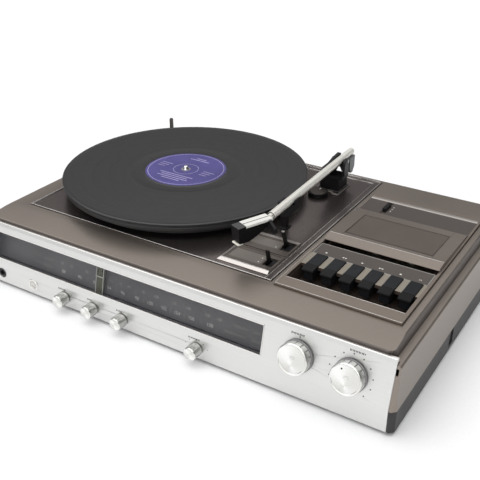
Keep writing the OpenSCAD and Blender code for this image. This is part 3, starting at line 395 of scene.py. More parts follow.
def soft_rubber(name, colour, rough, grain):
    shop = Shop(name)
    dust = shop.noise(shop.place, 60, 4.0)
    skin = shop.noise(shop.place, grain, 2.0)
    shop.paint(shop.blend(shop.span(dust, 0.4, 0.8), rgb(*colour), rgb(58, 56, 54)),
               rough=rough + 0.1 * dust, normal=shop.relief(skin, 0.02))


soft_rubber("rubber", (24, 24, 24), 0.75, 900)
soft_rubber("mat_rubber", (30, 29, 29), 0.7, 1200)
soft_rubber("belt_rubber", (26, 26, 26), 0.7, 900)
lacquer("platter_grey", (62, 62, 62), metal=0.7, rough=0.42)
print("finishes so far:", len(finish))

# %% [markdown]
# ## Clear pieces
# The dial glass is grey and clean; the cassette window is smoked acrylic; the dial pointer is a
# clear, slightly olive plastic. All three are thin, so alpha alone lets the light through, without
# bending it, and each keeps its own reflection.

# %% Glass family
def clear(name, colour, alpha, rough):
    shop = Shop(name, IOR=1.49)
    base = rgb(*colour)
    film = shop.noise(shop.place, 40, 3.0)
    shop.material.blend_method = "BLEND"
    shop.paint(shop.blend(film, base, scaled(base, 1.15)), rough=rough + 0.04 * film,
               alpha=alpha + 0.04 * film, normal=shop.relief(film, 0.004))


clear("dial_glass", (52, 54, 60), 0.2, 0.04)
clear("window_smoke", (96, 88, 82), 0.9, 0.2)
clear("pointer_clear", (120, 120, 92), 0.6, 0.12)
print("clear finishes: 3")

# %% [markdown]
# ## Vinyl
# A record is pressed black vinyl with about ten grooves to the millimetre. The grooves can't be
# drawn one by one, but their sheen can: rings of relief by the distance from the spindle, and a
# roughness that follows the wide bands of louder and quieter music.

# %% Vinyl finish
CENTRE = at(-101, 199, 0)
shop = Shop("vinyl", Specular_IOR_Level=0.6)
far = shop.from_centre(CENTRE, (0, 1, 0))[2]
groove = shop.rings(far, 2600.0, 4.0, 0.8)
loud = shop.rings(far, 260.0, 3.0, 0.6)
colour = shop.blend(shop.span(loud, 0.3, 0.75), rgb(38, 37, 38), rgb(44, 43, 45))
shop.paint(colour, rough=0.26 + 0.16 * loud, normal=shop.relief(groove, 0.035, 0.9))
plastic("label_blue", (70, 64, 122), 0.55, 600, 0.006)
plastic("hole_grey", (132, 130, 132), 0.5, 600, 0.004)
plastic("label_pale", (150, 145, 184), 0.55, 600, 0.004)
print("vinyl and label finishes ready")

# %% [markdown]
# ## Making pieces
# Every visible piece goes through the same bench: a mesh is made or taken over from the frame,
# its sharp edges are rounded the way a mould or a press leaves them, and it is seated on the body
# that carries it. A rounded edge is what catches the light; a CAD edge has no width at all.
# Weighted normals let the large flat faces keep theirs, so that only the roundings shade over.

# %% The bench for pieces
SLOT_OF = {s["node"]: s["material_slot"] for s in frame["record"]["subparts"]}
BODY_OF = {n: b for b, group in frame["record"]["behaviour"]["bodies"].items() for n in group}


def millimetres(point):
    return point.x / MM, point.y / MM - FRONT_Y, point.z / MM


def new_object(name, bm):
    mesh = bpy.data.meshes.new(name)
    bm.to_mesh(mesh)
    bm.free()
    obj = bpy.data.objects.new(name, mesh)
    bpy.context.scene.collection.objects.link(obj)
    return obj


def worked_out(obj):
    """The object's mesh after its modifiers, or the mesh that a letter makes."""
    bpy.context.view_layer.update()
    return bpy.data.meshes.new_from_object(obj.evaluated_get(bpy.context.evaluated_depsgraph_get()))


def smooth(obj, angle=35):
    obj.data.shade_smooth()
    obj.data.set_sharp_from_angle(angle=math.radians(angle))
    return obj


def rounded(obj, width_mm, segments=2, angle=28):
    smooth(obj, angle)
    edge = obj.modifiers.new("edge", "BEVEL")
    edge.width = width_mm * MM
    edge.segments = segments
    edge.limit_method = "ANGLE"
    edge.angle_limit = math.radians(angle)
    edge.miter_outer = "MITER_ARC"
    flat = obj.modifiers.new("flat", "WEIGHTED_NORMAL")
    flat.keep_sharp = True
    flat.weight = 80
    done = worked_out(obj)
    obj.modifiers.clear()
    obj.data = done


print("slots:", len(set(SLOT_OF.values())), "bodies:", len(set(BODY_OF.values())))

# %% [markdown]
# ## Dressing a node
# Most pieces keep the frame's own form. `dress` cleans a node's mesh, rounds it and seats it, and
# `recolour` paints single faces. A face is found by where it lies and by the way it looks.

# %% Seats, paint and dress
def seat(obj, finish_name, body="root", node=None):
    """Gives a piece its finish and its body, and hides the node that it stands for."""
    if not obj.data.materials:
        obj.data.materials.append(finish[finish_name])
    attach(obj, body)
    if node:
        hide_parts(node)
    return obj


def recolour(obj, finish_name, test):
    """Faces whose middle passes the test, in bench millimetres, get another finish."""
    obj.data.materials.append(finish[finish_name])
    index = len(obj.data.materials) - 1
    count = 0
    for face in obj.data.polygons:
        if test(*millimetres(face.center), face.normal):
            face.material_index = index
            count += 1
    return count


def clean_copy(node):
    """The node's mesh with its flat areas joined, then cut into plain faces that bridge no hole."""
    bm = bmesh.new()
    bm.from_mesh(nodes[node].data)
    bmesh.ops.remove_doubles(bm, verts=bm.verts, dist=2e-6)
    bmesh.ops.dissolve_limit(bm, angle_limit=math.radians(0.4), verts=bm.verts, edges=bm.edges)
    bmesh.ops.triangulate(bm, faces=[f for f in bm.faces if len(f.verts) > 4])
    return bm


def dress(node, width_mm, segments=2, angle=28):
    """A visual piece with the node's own form: flat faces cleaned, sharp edges rounded."""
    obj = new_object(node + "_finished", clean_copy(node))
    if width_mm:
        rounded(obj, width_mm, segments, angle)
    else:
        smooth(obj)
    return seat(obj, SLOT_OF[node], BODY_OF[node], node)


print("nodes to dress:", len(nodes))

# %% [markdown]
# ## Cabinet shell
# The housing is one injection moulding. Its plateau carries deck and cassette module, drops by a
# dark step to the shoulder where the dust cover's rim would rest, and slopes away at the front.
# The step's own face, and a narrow strip just behind the fascia's top, lie in shade, so their faces
# get the darker paint: painted shade.

# %% Housing, base, fascia step
housing = dress("housing", 0.7, segments=3)
# painted shade: the step's side faces and the strip behind the fascia get the dark lacquer
step_shade_faces = recolour(housing, "panel_dark", lambda x, y, z, n: 72.4 < z < 82.2 and abs(x) > 249.5
                      and abs(n.z) < 0.5 or 15 < y < 17.2 and z < 79.5)
base = dress("base_tray", 0.6)
print("housing faces in the dark paint:", step_shade_faces, "base faces:", len(base.data.polygons))

# %% [markdown]
# ## Small blocks
# Bright lines, strokes of print and little guards are all short bars, so one helper takes a list
# of boxes and a place to lay them: on the bench, on the slope of the fascia or along the arm.

# %% Bars
def block(bm, place, x0, x1, y0, y1, z0, z1):
    corners = [bm.verts.new(place(x, y, z)) for z in (z0, z1) for y in (y0, y1) for x in (x0, x1)]
    for ring in ((0, 2, 3, 1), (4, 5, 7, 6), (0, 1, 5, 4), (2, 6, 7, 3), (0, 4, 6, 2), (1, 3, 7, 5)):
        bm.faces.new([corners[i] for i in ring])


def bars(name, boxes, finish_name, body="root", place=at, width_mm=0.0):
    """Several small blocks as one piece."""
    bm = bmesh.new()
    for box in boxes:
        block(bm, place, *box)
    bmesh.ops.recalc_face_normals(bm, faces=bm.faces)
    obj = new_object(name, bm)
    if width_mm:
        rounded(obj, width_mm)
    return seat(obj, finish_name, body)


print("a bar takes x, y and z from and to, in millimetres")

# %% [markdown]
# ## Fascia
# A folded aluminium sheet: upright at the bottom, leaning above the fold, with a bright bevel
# along the top. The window's edge is cut sharp. Below the glass runs a black ledge and then a
# thin lighter line, which is the lip of the window opening.

# %% Fascia and its lip
fascia = dress("fascia_panel", 0.35)
bright = recolour(fascia, "bright_trim", lambda x, y, z, n: z > 72.6 and n.z > 0.4)
bars("window_lip", [
    (DIAL_LEFT, DIAL_RIGHT, 7.2, 8.0, -1.9, 0.25),
    (DIAL_LEFT, DIAL_RIGHT, 38.9, 39.6, -1.9, 0.25),
    (DIAL_LEFT, DIAL_LEFT + 0.7, 7.2, 39.6, -1.9, 0.25),
    (DIAL_RIGHT - 0.7, DIAL_RIGHT, 7.2, 39.6, -1.9, 0.25),
], "bright_trim", place=on_slope, width_mm=0.1)
print("bright fascia faces:", bright)

# %% [markdown]
# ## Radio dial
# Behind the glass stands a dark plate with three rows of plain figures and ticks, printed in pale
# ink. Print is a thin raised film here, 0.08 mm, so it stays in the exported model. Ticks are
# small blocks; figures are built from a plain typeface and laid on the plate's slope.

# %% Dial plate and printing helpers
# The plate's finish is a mid grey, lighter than the dark plate: a painted reflection of the glass in front.
dress("dial_plate", 0.2)
PLATE_OUT = -11.0
INK = 0.08


def figures(name, words, finish_name, size_mm):
    """Plain figures, each (text, x, up), as one thin raised piece."""
    bm = bmesh.new()
    for text, x, up in words:
        curve = bpy.data.curves.new("figure", "FONT")
        curve.body = text
        curve.size = size_mm
        curve.align_x = "CENTER"
        curve.extrude = INK / 2
        shape = bpy.data.objects.new("figure", curve)
        bpy.context.scene.collection.objects.link(shape)
        mesh = worked_out(shape)
        for v in mesh.vertices:
            v.co = on_slope(x + v.co.x, up + v.co.y, PLATE_OUT + INK / 2 + v.co.z)
        bm.from_mesh(mesh)
        bpy.data.objects.remove(shape)
        bpy.data.curves.remove(curve)
        bpy.data.meshes.remove(mesh)
    return seat(new_object(name, bm), finish_name)


def stroke(x, up, wide, tall, out=PLATE_OUT):
    return (x - wide / 2, x + wide / 2, up - tall / 2, up + tall / 2, out, out + INK)


def word(x0, x1, up, tall, out=PLATE_OUT):
    """A line of tiny upright strokes where the real thing has a printed word."""
    made = []
    x = x0
    while x < x1:
        k = len(made)
        made.append(stroke(x + 0.4, up, 0.75, tall * (1.0 if k % 3 else 1.3), out))
        x += 1.25 + 0.35 * (k % 2)
    return made


print("ink: %.2f mm thick" % INK)

# %% [markdown]
# ## The three rows
# The places along the dial were read from the photograph. They aren't even, because a tuning
# capacitor spreads one end of a band more than the other.

# %% Ticks and figures
LOW_X = (-139.9, -115.9, -93.6, -73.1, -54.1, -34.8, -17.2, 0.5, 18.1, 36.1, 58.9)
MIDDLE_X = (-142.2, -128.5, -105.5, -92.0, -71.6, -57.8, -46.7, -26.8, -9.9, 12.9, 31.1, 54.7, 69.1)
HIGH_X = (-150.0, -128.0, -104.0, -66.0, -36.0, -6.0, 28.0, 52.0, 80.0)
low_row = [(str(88 + 2 * i), x, 12.0) for i, x in enumerate(LOW_X)]
middle_row = [(t, x, 21.8) for t, x in zip("52 54 56 60 64 70 80 90 100 120 140 150 160".split(), MIDDLE_X)]
high_row = [(t, x, 31.0) for t, x in zip("150 160 175 190 210 230 260 300 340".split(), HIGH_X)]
low_ticks = [stroke((a + b) / 2, 14.0, 0.7, 4.0) for a, b in zip(LOW_X, LOW_X[1:])]


def dial_bars(name, boxes, finish_name):
    return bars(name, boxes, finish_name, place=on_slope)


dial_bars("dial_ticks", low_ticks, "print_grey")
fine = [stroke((a + b) / 2, 32.4, 0.5, 2.2) for a, b in zip(HIGH_X, HIGH_X[1:])]
dial_bars("dial_fine_ticks", fine, "print_faint")
figures("dial_figures_low", low_row, "print_pale", 5.6)
figures("dial_figures_middle", middle_row, "print_soft", 4.4)
figures("dial_figures_high", high_row, "print_faint", 3.6)
words = []
for x0, x1, up in ((-184, -176, 14), (-170, -158, 13.6), (77, 101, 13.8), (108.5, 119.5, 14.2),
                   (-184, -176.5, 23.3), (-169, -155, 22.7), (87, 102, 23), (109, 117, 23.4)):
    words += word(x0, x1, up, 2.4)
dial_bars("dial_word_strokes", words, "print_grey")
dial_bars("dial_foot_band", [(DIAL_LEFT, DIAL_RIGHT, 4.7, 6.2, PLATE_OUT, PLATE_OUT + 0.06)], "ledge_black")
dial_bars("dial_foot_line", [(DIAL_LEFT, DIAL_RIGHT, 7.2, 8.1, PLATE_OUT, PLATE_OUT + 0.25)], "print_faint")
dress("dial_glass", 0.15)
print("figures:", len(low_row) + len(middle_row) + len(high_row), "word strokes:", len(words))

# %% [markdown]
# ## Pointer and its rail
# The pointer is a flat clear strip hanging from a rod above the window. Two pale edges run down
# it and a short cross line marks the middle row. It rides with the pointer body, so it runs along
# the dial when the tuning knob turns.

# %% Pointer
dress("pointer_rail", 0.2)
dress("dial_pointer", 0.15)
bars("pointer_lines", [
    (-88.3, -87.3, 6.0, 41.0, -5.9, -5.7),
    (-78.5, -77.5, 6.0, 41.0, -5.9, -5.7),
    (-87.3, -78.5, 24.2, 25.6, -6.5, -6.3),
], "print_pale", "pointer", on_slope)
print("pointer lines: 3")

# %% [markdown]
# ## Turned forms
# Knobs, platter, record and rings come off a lathe, and so do they here: half a section is spun
# round an axis. Enough steps keep the rim round in a close view.

# %% Lathe
def turned(name, profile, centre, steps, tilt=None, wobble=None):
    """A turned form: a profile of (radius, height) in millimetres spun about an axis through centre.

    The axis is Z, or tilt turns it. wobble(angle, radius, height) may move the radius, for flutes."""
    bm = bmesh.new()
    turn = tilt or Matrix.Identity(3)
    rings = []
    for r, h in profile:
        if r == 0:
            rings.append([bm.verts.new(centre + turn @ Vector((0, 0, h)) * MM)])
            continue
        ring = []
        for i in range(steps):
            a = 2 * math.pi * i / steps
            rr = wobble(a, r, h) if wobble else r
            ring.append(bm.verts.new(centre + turn @ Vector((rr * math.cos(a), rr * math.sin(a), h)) * MM))
        rings.append(ring)
    closed = profile[0][0] != 0 or profile[-1][0] != 0
    pairs = list(zip(rings, rings[1:])) + ([(rings[-1], rings[0])] if closed else [])
    for low, high in pairs:
        for i in range(steps):
            j = (i + 1) % steps
            if len(low) == 1:
                bm.faces.new((low[0], high[j], high[i]))
            elif len(high) == 1:
                bm.faces.new((low[i], low[j], high[0]))
            else:
                bm.faces.new((low[i], low[j], high[j], high[i]))
    bmesh.ops.recalc_face_normals(bm, faces=bm.faces)
    return smooth(new_object(name, bm))


print("lathe ready")

# %% [markdown]
# ## Knobs
# All knobs are turned aluminium. The two large ones lean with the fascia: a ring at the root painted
# darker as painted shade, a wide notched side, a bright chamfer and a spun face with a fine raised
# centre. The small ones are fluted stubs with a polished end. Notches move the radius in and out as
# the knob is spun, so the sides are really cut and not painted.

# %% Knob maker
NORMAL_LEAN = Matrix.Rotation(math.radians(90) - LEAN, 3, "X")
NORMAL_FRONT = Matrix.Rotation(math.radians(90), 3, "X")


def notched(count, depth, share, low, high):
    """Radius with square-shouldered notches between two heights."""
    def move(angle, r, h):
        if not low <= h <= high:
            return r
        phase = (angle * count / (2 * math.pi)) % 1.0
        edge = min(phase, 1 - phase) / (share / 2)
        return r - depth * max(0.0, min(1.0, 2.2 * (1 - edge)))
    return move


def big_knob(node, x):
    centre = on_slope(x, BIG_KNOB_UP)
    profile = [(0, 1.2), (16.6, 1.2), (16.6, 2.3), (16.2, 2.6), (15.2, 2.9), (15.2, 4.0), (16.0, 4.3),
               (16.0, 11.0), (15.7, 11.6), (15.1, 12.2), (14.4, 12.42), (13.9, 12.4), (13.5, 12.05),
               (13.2, 11.95), (6, 11.85), (1.6, 11.8), (1.3, 12.0), (0, 12.05)]
    knob = turned(node + "_turned", profile, centre, 480, NORMAL_LEAN, notched(16, 0.7, 0.2, 4.2, 11.3))
    spun(node + "_face", centre, -LEAN)
    knob.data.materials.append(finish["knob_side"])
    seat(knob, "knob_side", BODY_OF[node], node)
    out = NORMAL_LEAN @ Vector((0, 0, 1))

    def height(x, y, z):
        return (at(x, y, z) - centre).dot(out) / MM

    recolour(knob, node + "_face", lambda x, y, z, n: n.dot(out) > 0.55 and height(x, y, z) > 11.2)
    # painted shade: the root ring gets the darker dial finish where the knob meets the fascia
    recolour(knob, "dial_black", lambda x, y, z, n: height(x, y, z) < 3.6)
    return knob


def small_knob(node, x):
    centre = at(x, 0, KNOB_ROW_Z)
    profile = [(0, 0.8), (6.9, 0.8), (7.0, 1.6), (7.6, 2.0), (7.5, 11.4), (7.2, 12.6), (6.6, 13.3),
               (5.6, 13.6), (5.2, 13.35), (4.8, 13.3), (1.0, 13.25), (0, 13.35)]
    knob = turned(node + "_turned", profile, centre, 288, NORMAL_FRONT, notched(14, 0.6, 0.34, 1.9, 12.0))
    spun(node + "_face", centre, 0.0)
    seat(knob, "knob_side", BODY_OF[node], node)
    recolour(knob, node + "_face", lambda x, y, z, n: n.y < -0.5 and y < -12.4)


brushed("knob_side", (206, 206, 203), along=(900, 60, 900), rough=0.3)
big_knob("tuning_knob", TUNING_X)
volume = big_knob("volume_knob", VOLUME_X)
FUNCTION_X = 51.6
for node, x in (("balance_knob", -128.0), ("bass_knob", -86.5), ("treble_knob", -45.5),
                ("function_knob", FUNCTION_X)):
    small_knob(node, x)
print("knobs: 6, big knob vertices:", len(volume.data.vertices))

# %% [markdown]
# ## Small marks
# Round the volume knob sits an arc of printed dots; the volume knob has one dot on its face. A
# short fan of dots surrounds the function knob, and rows of strokes stand for the knobs' names.

# %% Marks
def disc_ring(x, y, r, n=24):
    return [(x + r * math.cos(2 * math.pi * k / n), y + r * math.sin(2 * math.pi * k / n)) for k in range(n)]


def flat_shapes(name, shapes, foot, top, finish_name, body="root", place=at):
    """Flat printed shapes: each is a ring of points, raised from foot to top."""
    bm = bmesh.new()
    for ring in shapes:
        high = [bm.verts.new(place(a, b, top)) for a, b in ring]
        low = [bm.verts.new(place(a, b, foot)) for a, b in ring]
        bm.faces.new(high)
        for i in range(len(ring)):
            j = (i + 1) % len(ring)
            bm.faces.new((low[i], low[j], high[j], high[i]))
    bmesh.ops.recalc_face_normals(bm, faces=bm.faces)
    return seat(new_object(name, bm), finish_name, body)


def dots(name, spots, radius, finish_name="print_black", body="root", out=0.0,
         place=on_slope):
    shapes = [disc_ring(a, b, radius) for a, b in spots]
    return flat_shapes(name, shapes, out - 0.05, out + 0.08, finish_name, body, place)


def on_circle(x, up, wide, tall, degrees):
    return x + wide * math.cos(math.radians(degrees)), up + tall * math.sin(math.radians(degrees))


scale_dots = [on_circle(VOLUME_X, BIG_KNOB_UP, 21.5, 21.5, a) for a in range(-45, 226, 27)]
dots("volume_scale_dots", scale_dots, 0.7)
dots("tuning_scale_dot", [(TUNING_X, 40.2)], 0.7)
dots("volume_pointer_dot", [on_circle(VOLUME_X, BIG_KNOB_UP, 10.6, 10.6, 118)], 0.9,
     body="volume", out=11.9)


def on_face(x, z, out):
    """A point on the upright part of the fascia."""
    return at(x, -out, z)


fan = [on_circle(FUNCTION_X, 17.5, 13.5, 8.5, a) for a in (10, 50, 90, 130, 170)]
dots("function_marks", fan, 0.5, place=on_face)
name_strokes = []
for x0, x1, z in ((-137.0, -126.0, 25.6), (-94.0, -87.5, 25.6), (-53.0, -46.0, 25.6), (42.0, 56.0, 27.2)):
    name_strokes += word(x0, x1, z, 1.4, 0.0)
bars("knob_name_strokes", name_strokes, "print_black", place=on_face)
high_strokes = word(154.0, 167.0, 42.4, 1.7, 0.0) + word(213.0, 228.0, 45.2, 1.5, 0.0)
bars("large_knob_name_strokes", high_strokes, "print_black", place=on_slope)
print("scale dots:", len(scale_dots), "name strokes:", len(name_strokes) + len(high_strokes))

# %% [markdown]
# ## Button and headphones
# The power button is a dished chrome cap in a bright collar. The headphone socket beside it is a
# black well with a black ring.

# %% Button, socket
dress("power_button", 0.3)
dress("sockets", 0.15)
collar = [(5.2, 0.1), (6.9, 0.1), (7.0, 0.5), (6.6, 0.9), (5.6, 0.9), (5.2, 0.6)]
seat(turned("button_ring", collar, at(-177, 0, KNOB_ROW_Z), 96, NORMAL_FRONT), "bright_trim")
collar = [(5.3, 0.1), (6.2, 0.1), (6.2, 0.35), (5.9, 0.55), (5.5, 0.55), (5.3, 0.4)]
seat(turned("phones_ring", collar, at(-228, 0, KNOB_ROW_Z), 96, NORMAL_FRONT), "socket_black")
print("collars: 2")

# %% [markdown]
# ## Deck plate and its bright edge
# The plate sits in a shallow recess, so a black line of shade runs round it. Its raised beads are
# polished. The control island in its front corner has pale bevels, dull label plates and two wells.

# %% Deck plate
deck = dress("deck_plate", 0.25)
deck_bright = recolour(deck, "bright_trim", lambda x, y, z, n: z > 83.5 and abs(n.z) > 0.3 or z > 84.0)
island = dress("control_island", 0.3)
island_bright = recolour(island, "island_edge", lambda x, y, z, n: (y < 67.6 and z > 84.7 and n.y < -0.2)
                         or (x < 37.1 and z > 84.7 and n.x < -0.2))
labels = recolour(island, "label_plate", lambda x, y, z, n: n.z > 0.9 and 41 < x < 79.6 and z < 85.8)
wells = recolour(island, "arm_black", lambda x, y, z, n: n.z > 0.9 and x > 81.5 and z < 85.2)
print("deck bright faces:", deck_bright, "island:", island_bright, labels, wells)

# %% [markdown]
# ## Control island trims
# Thin polished lines edge the two steps of the island, and small white dots are printed beside
# the lever slots. A word has no place on a plain part, so only the dots are there.

# %% Island lines and dots
bars("island_lines", [
    (37.0, 95.2, 68.0, 68.7, 86.0, 86.75),
    (38.6, 92.8, 99.1, 99.6, 86.0, 86.5),
    (38.2, 38.8, 69.0, 131.0, 86.0, 86.75),
], "bright_trim", width_mm=0.08)
bars("island_rear_band", [(38.0, 94.9, 131.6, 136.2, 86.5, 86.66)], "pale_band", width_mm=0.06)
dots("island_dots", [(75.5, 80.0), (75.5, 88.5), (75.5, 116.5)], 0.8, "print_pale",
     out=85.5, place=at)
dress("start_lever", 0.4)
speed = dress("speed_lever", 0.4)
# painted highlight: the tip's upward faces are pale grey on a dark lever
tip_highlight_faces = recolour(speed, "lever_tip_highlight", lambda x, y, z, n: z > 105.4 and n.z > 0.3)
print("lever tip faces:", tip_highlight_faces)

# %% [markdown]
# ## Platter, mat and record
# The record is turned from its true section: a raised bead at the edge, the playing surface a
# third of a millimetre lower, five tracks parted by narrow smooth gaps, the run-out land and the
# raised label seat. The label is plain indigo with rings and a few bars in place of its words.

# %% Record stack
TOP = 105.3
HOLE_R = 3.95
MAT_FOOT, MAT_TOP = 100.5, 103.5
platter_section = [(3.66, 88.4), (14, 88.4), (14, 98.3), (78, 98.3), (78, 88), (80, 88), (80, 98.3),
                   (134, 98.3), (134, 87.4), (136, 87.4), (136, 96.0), (148.3, 96.0), (149, 96.7), (149, 100),
                   (148.6, MAT_FOOT), (3.66, MAT_FOOT)]
seat(turned("platter_turned", platter_section, CENTRE, 256), "platter_grey", "turntable", "platter")
rib_section = [(HOLE_R, MAT_FOOT), (148.4, MAT_FOOT), (149, 101.1), (149, 103.0), (148.7, 103.4),
               (148.3, MAT_TOP)]
for i in range(9):
    r = 143 - i * 10
    rib_section += [(r, MAT_TOP), (r - 0.8, 102.7), (r - 3.4, 102.7), (r - 4.2, MAT_TOP)]
rib_section += [(HOLE_R, MAT_TOP)]
seat(turned("mat_turned", rib_section, CENTRE, 256), "mat_rubber", "turntable", "platter_mat")
EDGE = 150.5
low = TOP - 0.35
gap = low - 0.03
section = [(HOLE_R, 103.52), (EDGE - 1.0, 103.52), (EDGE - 0.3, 103.75), (EDGE, 104.2), (EDGE - 0.1, 104.8),
           (EDGE - 0.5, 105.15), (EDGE - 1.1, TOP), (EDGE - 2.6, TOP), (EDGE - 4.3, low), (EDGE - 4.9, low)]
for r in (134, 114.5, 96, 79.5):
    section += [(r + 0.9, low), (r + 0.5, low), (r + 0.4, gap), (r - 0.4, gap), (r - 0.5, low),
                (r - 0.9, low)]
section += [(68.5, low), (68.1, low), (67.8, gap), (53.9, gap), (53.5, gap), (51.6, TOP - 0.1), (50.6, TOP),
            (50.2, TOP), (HOLE_R, TOP)]
record = turned("record_turned", section, CENTRE, 320)
seat(record, "vinyl", "turntable", "record")


def ring_band(name, r0, r1, z, finish_name, thick):
    band = turned(name, [(r0, z), (r1, z), (r1, z + thick), (r0, z + thick)], CENTRE, 160)
    return seat(band, finish_name, "turntable")


PRINT_Z = TOP + 0.1
ring_band("record_label", HOLE_R, 50.0, TOP - 0.02, "label_blue", 0.12)
ring_band("label_ring_outer", 46.6, 47.4, PRINT_Z, "label_pale", 0.04)
ring_band("label_ring_inner", 15.2, 15.9, PRINT_Z, "label_pale", 0.04)
ring_band("label_hole_rim", HOLE_R, 5.9, PRINT_Z, "hole_grey", 0.05)


BAR = (PRINT_Z, PRINT_Z + 0.04)
strokes = []
for y, halves in ((34, 7), (29.5, 14), (-21, 24), (-25.5, 19), (-30, 22), (-34.5, 13)):
    strokes.append((-halves, halves, y, y + 1.5, *BAR))
for side in (-1, 1):
    for i in range(3):
        x0 = side * 31 - 8
        strokes.append((x0, x0 + 16 - 3 * i, 4 - 5 * i, 5.2 - 5 * i, *BAR))
bars("label_bars", strokes, "label_pale", "turntable", seen_from(CENTRE))
dress("centre_spindle", 0)
print("record vertices:", len(record.data.vertices), "label bars:", len(strokes))

# %% [markdown]
# ## Belt drive
# Under the platter a flat belt joins the motor's brass pulley to the platter's inner ring. It is
# hidden in use and seen only from below or with the platter lifted off.

# %% Belt drive
for node in ("drive_belt", "deck_motor", "motor_pulley"):
    dress(node, 0)
print("belt drive dressed")

# %% [markdown]
# ## Tonearm
# A cream-silver tube on a black turret. It runs through a black pivot block between the cheeks
# of the yoke, on an axle with bright ends. The slab weight at the rear, the headshell and the
# black cartridge are pieces of their own.

# %% Tonearm, part one: turret, yoke, tube
arm_turret = dress("arm_base", 0.35)
# painted highlight: the sloped step faces at the turret's foot are painted light grey
step_highlight_faces = recolour(arm_turret, "turret_step_highlight", lambda x, y, z, n: z < 85.8 and 0.3 < n.z < 0.95)
dress("arm_yoke", 0.4)
tube = dress("tonearm_tube", 0.15)
dress("counterweight", 0.6)
shell = dress("headshell", 0.2)
PIVOT = at(67, 286, 124)
PARK = math.radians(1.6)
HEAD_TURN = math.radians(25)
ARM_TURN = Matrix.Rotation(PARK, 3, "Z")


ALONG_ARM = Matrix.Rotation(math.radians(90), 3, "X")
on_arm = seen_from(PIVOT, ARM_TURN)
HEAD = on_arm(0, -175, 0)
HEAD_TURNED = Matrix.Rotation(PARK - HEAD_TURN, 3, "Z")
on_head = seen_from(HEAD, HEAD_TURNED)


def off_axis(x, y, z):
    """Distance of a bench point from the tube's axis, in millimetres."""
    near = ARM_TURN.inverted() @ (at(x, y, z) - PIVOT) / MM
    return math.hypot(near.x, near.z)


pivot_block = recolour(tube, "arm_black", lambda x, y, z, n: off_axis(x, y, z) > 4.5)
collar = [(3.3, 171.6), (4.05, 171.6), (4.35, 171.9), (4.35, 174.8), (4.05, 175.1), (3.3, 175.1)]
seat(turned("tube_front_ring", collar, PIVOT, 64, ARM_TURN @ ALONG_ARM), "arm_black", "arm")
for name, x, turn in (("axle_cap_left", -9.9, -90), ("axle_cap_right", 9.7, 90)):
    cap = turned(name, [(0, 0), (2.6, 0), (2.6, 0.5), (2.0, 0.95), (0, 0.95)], on_arm(x, 0, 0), 48,
                 ARM_TURN @ Matrix.Rotation(math.radians(turn), 3, "Y"))
    seat(cap, "motor_steel", "arm_swivel")
print("worn edge faces:", step_highlight_faces, "pivot block faces:", pivot_block)
print("arm tip at", tuple(round(v, 4) for v in HEAD))

# %% [markdown]
# ## Headshell furniture
# Under the headshell hangs the cartridge: a black body, a grey sloping front, four bright pins at
# the back, and a pale guard round the stylus. The shell has a groove along its top, painted black as
# painted shade, and a black finger lift at the side. Both are told apart by where their faces lie in
# the shell's own frame.

# %% Tonearm, part two: cartridge, guard, finger lift
cartridge = dress("cartridge", 0.35)
front_grey = recolour(cartridge, "cartridge_grey", lambda x, y, z, n: n.z > 0.7 and z > 124.3)
bars("stylus_guard", [
    (-2.8, 8.0, -47.0, -45.0, -18.0, -16.2), (-2.8, -1.6, -45.2, -40.5, -18.0, -16.4),
    (6.8, 8.0, -45.2, -40.5, -18.0, -16.4),
], "hub_cream", "arm", on_head, 0.3)
bars("cartridge_pins", [(x, x + 0.9, -10.6, -8.4, z, z + 0.9) for x in (0.4, 3.9) for z in (-3.6, -5.0)],
     "pulley_brass", "arm", on_head, 0.1)


def in_head(x, y, z):
    """A bench point seen from the head's own frame, in millimetres."""
    return HEAD_TURNED.inverted() @ (at(x, y, z) - HEAD) / MM


def in_groove(spot):
    return 1.1 < spot.x < 2.3 and 1.4 < spot.z < 1.95


lift_faces = recolour(shell, "arm_black", lambda x, y, z, n: in_head(x, y, z).x > 8.3)
# painted shade: the groove's faces are painted black
groove = recolour(shell, "arm_black", lambda x, y, z, n: in_groove(in_head(x, y, z)))
dress("arm_rest", 0.5)
dress("antiskate_dial", 0.4)
SKATE = at(52, 260, 83.4)
skate_section = [(0, 5.75), (10.4, 5.75), (10.7, 5.9), (10.3, 6.3), (2.0, 6.35), (0, 6.35)]
# painted shadow: the cap is darker than its taupe metal, where the arm's shadow falls on it
seat(turned("antiskate_cap", skate_section, SKATE, 96), "dial_cap", "antiskate")
bars("antiskate_mark", [(-0.35, 0.35, 3.5, 8.0, 6.3, 6.42)], "print_pale", "antiskate",
     seen_from(SKATE))
print("cartridge front faces:", front_grey, "finger lift faces:", lift_faces, "groove faces:", groove)

# %% [markdown]
# ## Cassette module
# A separate moulding dropped into the plateau: the frame with its comb between the keys, a dark
# label strip, the hinged door with a smoked window, and a dark panel at the rear with the tape
# selector. Bright lines run along the frame's front and left edges, and the rear panel ends in a
# pale bar.

# %% Cassette frame and panels
STRIP_LEFT, STRIP_RIGHT = 113.2, 239.8
STRIP_Z = 84.98
KEY_PITCH = 20.7
MODULE_X = 178.2
module_frame = dress("cassette_frame", 0.3)
comb = recolour(module_frame, "comb_taupe", lambda x, y, z, n: 101 < y < 127 and n.z > 0.5
                and STRIP_LEFT < x < STRIP_RIGHT)
